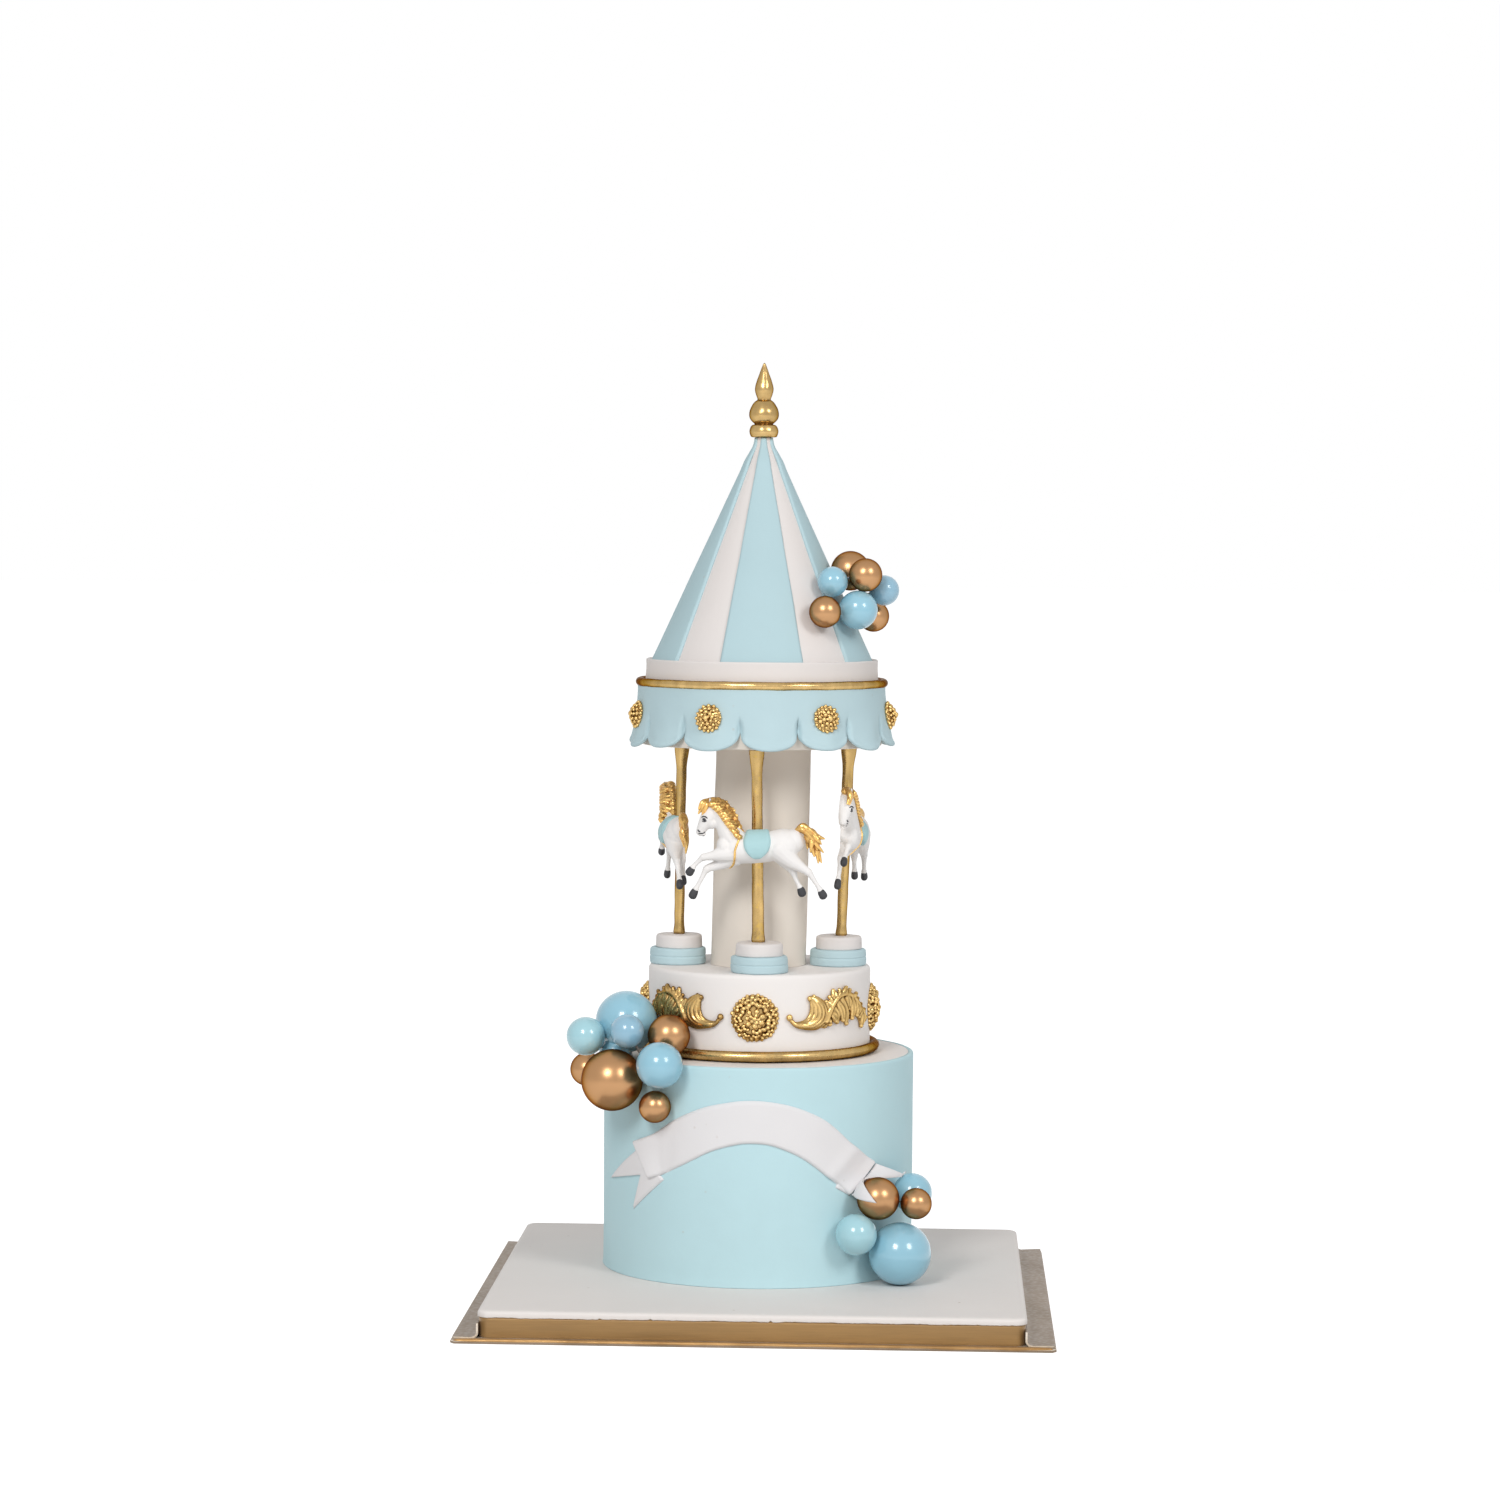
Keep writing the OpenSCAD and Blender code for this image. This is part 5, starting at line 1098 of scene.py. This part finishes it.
# an acanthus scroll, drawn as distance from the rosette and height above its middle
scroll = {
    # the horn is a ribbed leaf between two lines
    "inner": [(21.8, -0.9), (24, -3.2), (27.5, -3.3), (30.6, -2.4), (33, -0.4), (34.4, 2.2), (35, 5), (34.9, 7.6),
              (34.2, 9.6), (33, 10.6)],
    "outer": [(21.4, -1.6), (25, -4.8), (31, -6.0), (38, -6.2), (44, -3.2), (46.2, 1.6), (44.6, 6.4), (41.4, 9.2),
              (37.4, 11.6), (34.2, 11.8)],
    "beads": [(20.8, 0.2, 2.0), (33.6, 11.0, 1.6), (36.2, 12.1, 1.3)],
    "spine": [(44, -2.5), (46.5, 3), (49.5, 8), (54, 11.6), (60, 12.4), (66, 10.6), (70.5, 7.4), (74.5, 3.4),
              (78.5, -0.6), (80.4, -4)],
    "upperTips": [(44.6, 8.6), (46.6, 12.2), (50.4, 14.6), (55, 15.6), (60.4, 15.8), (65.4, 14.4), (69.8, 11.8),
                  (73.4, 8.6), (76.8, 5), (80.6, 1.4)],
    "lowerTips": [(48.5, -5.6), (51.8, -2.6), (55.3, -7.6), (57.4, -2.2), (61.4, -4.4), (63.6, 0.2), (66, -1.6),
                  (69.3, -3), (71.6, -0.6), (74.4, -4.2), (78.2, -7.6), (81.4, -5)],
}


def scrollClay():
    bm = bmesh.new()
    for rib in range(6):
        t = rib / 5
        line = [Vector(p).lerp(Vector(q), t) for p, q in zip(scroll["inner"], scroll["outer"])]
        last = len(line) - 1
        points = []
        for k, at in enumerate(line):
            ends = smoothStep(0, 2.5, min(k, last - k))
            points.append((at.x, -1.0 - (0.6 + 1.5 * math.sin(math.pi * t)) * (0.35 + 0.65 * ends), at.y,
                           0.85 + 0.5 * ends))
        strand(bm, points, 8, 3)
    for x, z, r in scroll["beads"]:
        lump(bm, (x, -1.3, z), (r, r * 0.95, r), fine=12)
    spine = smoothLine(scroll["spine"], 4)
    lump(bm, (61, 0.2, 4.6), (13.5, 1.9, 8.6), fine=24)
    lump(bm, (49, 0.2, 1.5), (5, 1.7, 6), fine=16)
    strand(bm, [(x, -0.5, z - 1.6, 3.4) for x, z in scroll["spine"]], 12, 2, flat=0.5)
    strand(bm, [(x, -2.6 - 0.3 * math.sin(k), z, 1.9 - 0.09 * k) for k, (x, z) in enumerate(scroll["spine"])], 10, 3)
    for row, tips in enumerate((scroll["upperTips"], scroll["lowerTips"])):
        for k, (x, z) in enumerate(tips):
            if row:  # the lower leaflets share the spine evenly
                nearest = round((k + 0.6) / len(tips) * (len(spine) - 1)) + 2
            else:
                nearest = min(range(len(spine)), key=lambda n: (spine[n][0] - x) ** 2 + (spine[n][1] - z) ** 2)
            foot = Vector(spine[min(len(spine) - 1, max(0, nearest - 3))])
            tip = foot.lerp(Vector((x, z)), 1.04 - (0.16 + 0.16 * row) * (math.sin(k * 2.9 + row) > 0.2))
            x, z = tip
            side = (tip - foot).normalized().orthogonal() * (1 if row else -1)
            rise = -1.6 - 0.5 * math.sin(k * 2.3 + row)
            for vein in ((-1, 1) if (tip - foot).length > 6 else (0,)):  # a long leaflet has two folds
                mid = foot.lerp(tip, 0.55) + side * (0.7 + 1.0 * vein)
                end = tip + side * 0.55 * vein
                strand(bm, [(foot.x, -2.0, foot.y, 1.25), (mid.x, rise - 0.9 - 0.25 * vein, mid.y, 1.35),
                            (end.x, rise, end.y, 0.95)], 8, 4)
            lump(bm, (x, rise - 0.1, z), (1.3 + 0.35 * row, 1.35, 1.3 + 0.35 * row), fine=10)
    fused(bm, ornament["voxel"], 1, 0.3)
    flatBack(bm)
    return bm


fit = ornament["scrollFit"]
places = [onPlatform(turn, side * fit) for turn in (0, 180) for side in (1, -1)]
stamped(scrollClay(), places, "platformScrolls", "platform_scrolls")
print("platform ornaments set")

horse = {
    "high": (76.0, 80.0, 80.6), "along": (0, 3.0, -2.4), "turn": (0, 12, -8), "back": -2.95,
    "voxel": 0.42, "hoofVoxel": 0.22, "hairVoxel": 0.32,
    # limbs as (x, y, z, radius): nose towards -X, the flat back towards +Y
    "trunk": [(-18.2, -5.6, -0.6, 6.2), (-13.4, -5.6, -2.6, 8.6), (-6, -5.2, -3.0, 8.9), (1.5, -5.0, -2.8, 8.8),
              (9, -5.0, -1.8, 8.8), (16.5, -5.2, -0.3, 9.0), (21.4, -5.0, 1.2, 7.0)],
    "neck": [(-12, -5.6, 0.6, 7.6), (-15.6, -5.8, 5.4, 6.9), (-18.2, -6.0, 10.6, 5.9), (-20.6, -6.0, 15.4, 5.3),
             (-24.2, -6.0, 20.0, 4.7)],
    "head": [(-25.0, -6.0, 19.6, 4.7), (-28.0, -6.2, 15.2, 4.9), (-30.6, -6.2, 11.2, 3.9), (-32.4, -6.1, 8.0, 3.0),
             (-32.9, -6.0, 6.6, 2.7)],
    "legs": [
        [(-15, -7.6, -5.0, 6.4), (-20.6, -9.0, -6.0, 4.8), (-26.0, -9.6, -7.0, 2.9), (-31.0, -9.4, -7.8, 2.1),
         (-33.6, -9.0, -9.8, 1.5), (-36.2, -8.6, -12.4, 1.35), (-37.4, -8.5, -13.8, 1.7)],
        [(-14, -5.0, -7.6, 6.6), (-20.0, -5.0, -11.4, 4.0), (-25.2, -5.0, -13.4, 2.8), (-29.4, -5.0, -15.0, 2.2),
         (-31.8, -5.0, -19.0, 1.5), (-34.6, -5.0, -24.4, 1.35), (-36.0, -5.0, -26.8, 1.7)],
        [(13.6, -8.2, -3.6, 7.6), (19.6, -9.2, -9.6, 5.2), (25.2, -9.6, -13.6, 3.2), (29.8, -9.6, -16.8, 2.2),
         (32.4, -9.4, -20.4, 1.6), (35.2, -9.2, -24.8, 1.35), (36.6, -9.0, -27.2, 1.7)],
        [(13.0, -4.8, -5.0, 6.8), (16.6, -4.8, -10.8, 4.4), (19.4, -4.9, -14.4, 2.9), (21.2, -5.0, -17.2, 2.1),
         (22.2, -5.0, -20.4, 1.5), (23.8, -5.0, -24.0, 1.35), (24.8, -5.0, -26.0, 1.65)],
    ],
    # cheek, brow, nostril, chin, breast, shoulder and haunch: middle, half sizes, turn and fineness
    "swells": [
        ((-26.4, -6.4, 12.6), (4.4, 4.0, 4.2), 30, 16), ((-30.8, -7.0, 14.6), (1.7, 3.6, 1.5), 0, 12),
        ((-33.1, -6.4, 7.2), (1.9, 2.7, 1.6), 0, 12), ((-31.4, -6.2, 5.4), (1.9, 2.2, 1.3), 0, 12),
        ((-19.0, -7.2, -1.6), (4.6, 6.4, 6.0), 0, 16), ((-12.6, -7.4, -3.4), (5.4, 6.9, 7.4), 0, 16),
        ((17.4, -7.2, -1.4), (7.6, 7.2, 8.2), 0, 16),
    ],
    "ear": [(-26.0, -8.6, 22.6, 1.5), (-26.6, -9.0, 24.4, 1.25), (-27.2, -9.2, 26.4, 0.5)],
    "hooves": [((-37.6, -8.5, -14.2), (-39.4, -8.4, -16.6)), ((-36.2, -5.0, -27.2), (-37.8, -5.0, -30.4)),
               ((36.9, -9.0, -27.8), (38.4, -9.0, -30.6)), ((25.0, -5.0, -26.4), (26.0, -5.0, -29.4))],
    "manePoll": [(-27.4, 22.6), (-22.6, 18.4), (-19.0, 13.4), (-15.0, 8.4), (-10.6, 4.4)],
    "maneCrest": [(-27.0, 25.4), (-21.2, 26.6), (-15.6, 22.8), (-11.8, 16.6), (-9.6, 10.0), (-7.6, 4.0)],
    "tailRoot": (23.4, -6.0, 7.6),
    # from the brow to a lock's tip
    "forelock": [(-26.6, 24.8, -33.8, 17.6), (-27, 25, -32.6, 18.8), (-26.4, 23.6, -31.4, 17.2),
                 (-26.0, 24.8, -30.2, 18.2),
                 (-27.4, 25.4, -33.6, 20.4)],
    "strap": [(-9.4, 4.6), (-11.0, 0.6), (-12.4, -3.4), (-12.8, -8), (-13.8, -12.2), (-16.2, -14.6)],
    # painted lines and their thickness: two for the eye, nostril, mouth and chin, and a dark line along the ear that
    # is painted shade in the gap behind it
    "lines": [
        ([(-32.0, 15.4), (-30.9, 16.0), (-29.6, 15.8), (-28.6, 15.0)], 0.38),
        ([(-31.8, 13.4), (-30.4, 12.9), (-29.0, 13.6)], 0.26),
        ([(-34.2, 8.2), (-33.8, 7.4), (-33.0, 7.3)], 0.42),
        ([(-34.0, 5.9), (-32.9, 6.1), (-31.4, 6.0), (-30.2, 6.9)], 0.34),
        ([(-31.4, 4.7), (-30.6, 4.5)], 0.3),
        # the ear: a dark line of painted shade in the gap behind it
        ([(-26.2, 22.6), (-26.3, 24.0), (-26.6, 25.6)], 0.34),
    ],
    "tailTips": [(39.4, 2.4), (37.4, -0.8), (38.6, -5.6), (36.2, -9.2), (37.4, -11.6), (33.4, -8.0), (31.0, -5.4),
                 (35.0, -4.0), (29.4, -3.4), (35.6, -11.8)],
}


def horseBody():
    bm = bmesh.new()
    for key, sides in (("trunk", 28), ("neck", 20), ("head", 18)):
        strand(bm, horse[key], sides, 4)
    for limb in horse["legs"]:
        strand(bm, limb, 14, 4)
        for s in (3, 6):  # knee or hock, and fetlock
            x, y, z, r = limb[s]
            lump(bm, (x, y, z), (r * 1.12, r * 1.08, r * 1.12), fine=12)
    for middle, radii, lean, fine in horse["swells"]:
        lump(bm, middle, radii, Matrix.Rotation(math.radians(lean), 4, "Y"), fine)
    strand(bm, horse["ear"], 8, 3)
    fused(bm, horse["voxel"], 7, 0.5)
    flatBack(bm, horse["back"])
    splitFans(bm)
    return bm


skinBm = horseBody()
skinTree = BVHTree.FromBMesh(skinBm)


def onSkin(x, z, over=0.0, miss=-6.0):
    hit = skinTree.ray_cast(Vector((x, -60, z)), Vector((0, 1, 0)))[0]
    return Vector((x, (hit.y if hit else miss) - over, z))


# dark paint: hooves, eye, nostril and mouth, and painted shade in a line along the ear
def horseMarks():
    bm = bmesh.new()
    for high, low in horse["hooves"]:
        a, b = Vector(high), Vector(low)
        line = [(*a.lerp(b, t), w) for t, w in ((-0.12, 1.65), (0.1, 2.05), (0.55, 2.4), (1.05, 2.5))]
        strand(bm, line, 16, 3, flat=0.85)
    fused(bm, horse["hoofVoxel"], 3, 0.5)
    lump(bm, onSkin(-30.3, 14.2, -0.25), (1.35, 0.75, 0.95), Matrix.Rotation(math.radians(18), 4, "Y"), 14)
    for line, thick in horse["lines"]:
        fine = smoothLine(line, 3)
        ends = (0, len(fine) - 1)
        strand(bm, [(*onSkin(x, z, 0.06), thick * (0.6 if k in ends else 1)) for k, (x, z) in enumerate(fine)], 8, 1)
    return bm


def hairBm():
    bm = bmesh.new()
    poll, crest = smoothLine(horse["manePoll"], 6), smoothLine(horse["maneCrest"], 6)
    count = 11
    for row in (0, 1):
        for k in range(count):
            t = (k + 0.35 * row) / count
            inner, outer = along(poll, min(t, 1)), along(crest, min(1, t * 0.92 + 0.16 + 0.05 * math.sin(k * 2.4)))
            reach = 1.0 - 0.28 * row
            way = (outer - inner).normalized().orthogonal()
            lock = []
            for j, radius in enumerate((0.95, 1.45, 1.6, 1.5, 1.2, 0.7)):
                s = j / 5
                curl = math.sin(s * math.pi * 1.6 + k * 0.9 + row) * 1.1 * s
                at = inner.lerp(outer, s * reach + 0.02) + way * curl - way * 2.4 * s * s
                if s > 0.75:
                    y = -6.0 - row
                else:
                    bulge = -5.4 - 3.2 * math.sin(math.pi * min(1.0, s * 0.9 + 0.1))
                    y = min(onSkin(at.x, at.y, 0, -6.4).y, bulge) - 0.5 - 0.4 * row * (1 - s)
                lock.append((at.x, y - 0.5 * math.sin(math.pi * s), at.y, radius))
            strand(bm, lock, 8, 2)
    # mane on the crest and over its inner side
    for k in range(12):
        t = k / 11
        at = along(crest, t).lerp(along(poll, max(0.0, t - 0.04)), 0.3)
        lump(bm, (at.x, -5.6, at.y), (2.5, 2.7, 2.3), fine=12)
    for k, (x, z, xe, ze) in enumerate(horse["forelock"]):
        bow = ((x + xe) / 2 - 0.8, -8.8 - 0.6 * (k % 2), (z + ze) / 2 + 1.2, 1.6)
        strand(bm, [(x, -6.6, z, 1.2), bow, (xe, -8.2 - 0.4 * k, ze, 0.6)], 8, 5)
    # tail: rises from the croup, arches and falls in spiky locks
    x, y, z = horse["tailRoot"]
    lump(bm, (31.6, y, 3.6), (4.3, 2.3, 5.6), Matrix.Rotation(math.radians(-24), 4, "Y"), 14)
    for k, (tx, tz) in enumerate(horse["tailTips"]):
        spread = (k - 4.5) / 10
        arch = 11.4 - 2.0 * abs(spread) - 0.25 * k
        strand(bm, [
            (x, y, z, 1.3),
            (x + 3.4, y - 0.6 * math.sin(k), arch - 0.7, 2.1),
            (x + 7.2 + spread, y - 1.2 * math.cos(k * 1.7), 7.6 - 0.45 * k, 1.9),
            ((x + 8 + tx) / 2 + math.sin(k * 2.2) * 0.9, y - 1.4 * math.sin(k * 1.3), (5 + tz) / 2, 1.6),
            (tx, y - 0.8 * math.cos(k), tz, 0.5),
        ], 8, 4)
    fused(bm, horse["hairVoxel"], 1, 0.2)
    # breast strap
    strap = smoothLine(horse["strap"], 5)
    radii = [0.3] + [0.62] * (len(strap) - 2) + [0.3]
    strand(bm, [(*onSkin(px, pz, 0.1, -5.0), r) for (px, pz), r in zip(strap, radii)], 8, 1)
    flatBack(bm, horse["back"])
    splitFans(bm)
    return bm


saddle = {"middle": (0, -5.1, -2.0), "half": 8.05, "waist": 2.4, "low": 10.8, "start": -44, "sweep": 138,
          "near": 8.2, "far": 9.6, "miss": 8.6, "sunk": 0.25, "puff": 2.2}


# a puffed shield over the flank and back
def saddleBm():
    middle = Vector(saddle["middle"])

    def half(z):
        waist = saddle["waist"]
        if z < waist:
            return saddle["half"] * math.sqrt(max(0.0, 1 - ((waist - z) / saddle["low"]) ** 2.4))
        return saddle["half"] - 1.5 * ((z - waist) / 6.2) ** 1.6

    def shape(u, v):
        a = math.radians(saddle["start"] + saddle["sweep"] * v)
        way = Vector((0, -math.cos(a), math.sin(a)))
        z = middle.z + 10 * math.sin(a)
        wide = half(max(z, -8.3))
        x = 0.3 + wide * (2 * u - 1)
        origin = Vector((x, middle.y, middle.z))
        hit = skinTree.ray_cast(origin + way * 30, -way)[0]
        reach = (hit - origin).length if hit else saddle["miss"]
        reach = max(min(reach, saddle["far"]), saddle["near"])
        rim = min(1.0, (1 - abs(2 * u - 1)) * 3.0, (1 - abs(2 * v - 1)) * 5)
        puff = saddle["puff"] * math.sqrt(max(0.0, 1 - (1 - rim) ** 2)) + 0.12 * noiseAt(x * 0.3, z * 0.3, 2)
        return origin + way * (reach - saddle["sunk"] + puff)

    bm = gridSurface(shape, 44, 60)
    closeBack(bm, lambda co: Vector((co.x * 0.96, co.y + (middle.y - co.y) * 0.14, co.z + (middle.z - co.z) * 0.14)))
    splitFans(bm)
    return bm


held = {}
for name, bm in (("horse", skinBm), ("horseMarks", horseMarks()), ("horseHair", hairBm())):
    held[name] = bpy.data.meshes.new(name)
    bm.to_mesh(held[name])
    bm.free()
places = []
for i, side in enumerate(("Front", "Left", "Right")):
    at = poleMatrix(i) @ Matrix.Translation((horse["along"][i], 0, horse["high"][i]))
    at = at @ Matrix.Rotation(math.radians(pole["turns"][i] + horse["turn"][i]), 4, "Z")
    places.append(lambda co, at=at: at @ co)
    for name, finish, slot in (("horse", horsePaste, "horse_white"), ("horseMarks", blackPaintAndEarShade, "horse_white"),
                               ("horseHair", hairGold, "gold_paint")):
        bm = bmesh.new()
        bm.from_mesh(held[name])
        bmesh.ops.transform(bm, matrix=at, verts=bm.verts)
        finishPiece(bm, name + side, "carousel", finish, ["horse_" + side.lower()] if name == "horse" else ())
for mesh in held.values():
    bpy.data.meshes.remove(mesh)
stamped(saddleBm(), places, "saddlePads", "saddles", saddlePaste)
print("horses mounted")

canopy = {"radius": 71.5, "drop": 326.6, "thick": 2.0, "flare": 4.9, "scallops": 14, "turn": 6.1, "notch": 10.2,
          "rosette": 8.5, "rosetteHigh": 18.6, "ring": 2.5, "ringHigh": 4.4}
coreTop, bandTop, coneTop = level["coreTop"], level["bandTop"], level["coneTop"]
bandLow, bandHigh = canopy["radius"] - 2.2, canopy["radius"] - 2.9
low, high = level["columnTop"] + 0.02, coreTop - 0.02
coreLine = [(hole, low, 0), (canopy["radius"] - 0.2, low, 0.8), (canopy["radius"] - 0.1, high, 0), (hole, high, 0),
            (hole, low, 0)]
pasteTurned("canopyCore", coreLine, columnPaste, "canopy_core", 8, 240, 0.06)
bandLine = [(hole, coreTop, 0), (bandLow, coreTop, 0), (bandLow, coreTop + 2.4, 0.6), (bandHigh, bandTop - 4, 3),
            (bandHigh + 0.3, bandTop + 0.9, 1.1), (cone["foot"] + 2.6, bandTop + 0.7, 0.8),
            (cone["foot"] + 1.4, bandTop, 0.3), (cone["foot"] - 3, bandTop, 0), (hole, bandTop, 0),
            (hole, coreTop, 0)]
pasteTurned("canopyBand", bandLine, canopyPaste, "canopy_band", 9, 300, 0.22, 2.5)
rolledRing("canopyRing", "canopy_ring", canopy["radius"] + 0.9, coreTop + canopy["ringHigh"], canopy["ring"],
           range(174, -175, -12), (0.14, 0.1, 17, 0.18))


def valanceWall(z):
    depth = max(0.0, (coreTop - z) / (coreTop - canopy["drop"]))
    return canopy["radius"] + canopy["thick"] + canopy["flare"] * (0.3 * depth + 0.7 * depth ** 1.6)


# the scallops were cut by hand, so some are wider
def drift(turn):
    near = (turn + 180) % 360 - 180
    return turn - 2.8 * math.exp(-((near + 36) / 27) ** 2)


# v runs down the outer face, round the lower edge, up the inner face and back over the top
def valanceShape(u, v):
    step, thick = 360 / canopy["scallops"], canopy["thick"]
    turn = canopy["turn"] + 360 * u
    share = (turn - canopy["turn"]) / step + 0.5
    x = share % 1.0 * 2 - 1  # -1 and 1 are the notches
    index = math.floor(share) % canopy["scallops"]
    edge = canopy["drop"] + canopy["notch"] * (1 - math.sqrt(max(0.0, 1 - abs(x) ** 2.3)))
    edge += 0.6 * math.sin(index * 2.7) * (1 - x * x)
    foot, high = edge + thick / 2, coreTop + 2.6  # the top edge stands behind the ring
    if v <= 0.46:
        z, inward = high + (foot - high) * v / 0.46, 0.0
    elif v < 0.54:
        a = math.pi * (v - 0.46) / 0.08
        z, inward = foot - math.sin(a) * thick / 2, (1 - math.cos(a)) * thick / 2
    else:
        z, inward = foot + (high - foot) * min(1.0, (v - 0.54) / 0.44), thick
        if v > 0.995:
            inward = 0.0
    near = 1 - abs(x)
    fall = smoothStep(coreTop - 8, edge, z)
    r = valanceWall(z) + math.cos(math.pi * x) * fall
    r -= (2.9 + 0.7 * math.sin(index * 1.9)) * math.exp(-(near / 0.085) ** 2) * smoothStep(coreTop - 12, edge + 4, z)
    if inward < thick / 2:
        r += 0.7 * math.exp(-((z - edge - 1.8) / 1.5) ** 2) * smoothStep(0.03, 0.2, near)
    spot = Vector((math.cos(math.radians(turn)) * 4, math.sin(math.radians(turn)) * 4, z * 0.06))
    r += 0.4 * noise.noise(spot) + 0.5 * fall * noise.noise(spot * 2.1)
    return roundAt(drift(turn), r - inward, z)


bm = gridSurface(valanceShape, canopy["scallops"] * 34, 100)
finishPiece(bm, "valanceSkirt", "carousel", shadedBluePaste, ["valance"])
smallRings = [(0.88, 16, 0.12, 0.2, 0.0, False), (0.66, 12, 0.13, 0.52, 0.5, False), (0.4, 8, 0.14, 0.78, 0.2, False),
              (0.17, 4, 0.1, 0.98, 0.1, False), (0.0, 1, 0.16, 1.02, 0, False)]
clay = rosetteClay(canopy["rosette"], smallRings, 4.6, ornament["smallVoxel"])
spots = []
for k in range(canopy["scallops"] // 2):
    turn = drift(canopy["turn"] + (2 * k + 1) * 360 / canopy["scallops"])
    z = canopy["drop"] + canopy["rosetteHigh"]
    at = Matrix.Rotation(math.radians(turn), 4, "Z") @ Matrix.Translation((0, -valanceWall(z) - 0.75, z))
    at = at @ Matrix.Rotation(math.radians(-8), 4, "X") @ Matrix.Rotation(k * 1.3, 4, "Y")
    spots.append(lambda co, at=at: at @ Vector((co.x, co.y + co.x ** 2 / (2 * canopy["radius"]), co.z)))
stamped(clay, spots, "valanceRosettes", "valance_rosettes")

coneSkin = outline([(0.0, coneTop, 0), (cone["top"], coneTop, 0.6), (cone["top"] + 0.6, coneTop - 5, 2),
                    (cone["neck"], bandTop + cone["neckHigh"], 5), (cone["foot"], bandTop + 0.02, 0.5),
                    (0.0, bandTop + 0.02, 0)], 3)
bm = lathe(coneSkin, 240)
onto(bm, uneven(0.15, 0.03, 21, 0))
finishPiece(bm, "coneCore", "carousel", canopyPaste, ["cone_core"])


def coneRadius(h):
    neckHigh, high = cone["neckHigh"], cone["high"]
    if h < neckHigh - 6:
        return coneWall(h)
    pts = [(neckHigh - 6, coneWall(neckHigh - 6)), (neckHigh, cone["neck"] + 0.5), (high - 5, cone["top"] + 0.8),
           (high, cone["top"])]
    for (h0, r0), (h1, r1) in zip(pts, pts[1:]):
        if h <= h1:
            return r0 + (r1 - r0) * (h - h0) / (h1 - h0)
    return cone["top"]


def stripePiece():
    bm = bmesh.new()
    wide = cone["stripeWide"]
    for k in range(cone["stripes"]):
        start = cone["stripeTurn"] + 360 / cone["stripes"] * k - wide / 2

        def shape(u, v):
            h = (cone["high"] + 2) * v * 0.998 - 1.96
            core = coneRadius(max(h, 0))
            a = start + wide * u + 0.35 * noiseAt(k * 3 + (u > 0.5), v * 5, 1)
            fromEdge = min(u, 1 - u) * math.radians(wide) * core
            soft = min(1.0, fromEdge / 1.3)
            lift = cone["stripe"] * math.sqrt(max(0.0, 1 - (1 - soft) ** 2))
            lift *= 1 - 0.45 * smoothStep(0.86, 1.0, v)
            lift += 0.15 * noiseAt(a * 0.05, h * 0.03, k)
            return roundAt(a, core - 0.25 + lift + 0.25 * soft, bandTop + h)

        part = gridSurface(shape, 40, 70)
        outwards(part)
        f = part.faces[:][800]  # one well inside the stripe
        if f.normal.xy.dot(f.calc_center_median().xy) < 0:
            bmesh.ops.reverse_faces(part, faces=part.faces)
        bmesh.ops.solidify(part, geom=part.faces, thickness=0.3)
        addPart(bm, part)
    finishPiece(bm, "coneStripes", "carousel", stripeShadedPaste, ["cone_stripes"], recalc=False)


stripePiece()

finialCorners = [(0.0, 0.02, 0), (7.6, 0.02, 1), (9.0, 3.6, 3.2), (7.4, 7.2, 1.4), (5.2, 7.6, 0.6), (8.6, 10.6, 2.5),
                 (9.0, 15.4, 4.5), (6.2, 20.6, 2.6),
                 (3.7, 22.2, 0.8), (4.6, 24.2, 1.2), (5.9, 28.6, 3.0), (3.9, 35, 3.0), (1.7, 40.6, 2),
                 (0.8, 43.4, 0.5), (0.0, 44, 0)]
finialLine = outline([(r, coneTop + h, soft) for r, h, soft in finialCorners], 0.8)
bm = lathe(finialLine, 96)
onto(bm, uneven(0.16, 0.22, 30, 0.08))
finishPiece(bm, "finialTurned", "carousel", paintedGold, ["finial"])
print("canopy raised")

dress(brass, "bedplate", "stem_bush", "spring_housing", "spring_cover", "arbor_bracket", "governor_frame",
      "comb_block", "cylinder", "cylinder_wheel",
      "governor_wheel", "great_wheel", "drive_flange")
dress(steel, "movement_screws", "housing_posts", "mainspring", "comb", "cylinder_arbor", "fly", "winding_stem",
      "click", "flange_screws")
print("works dressed")
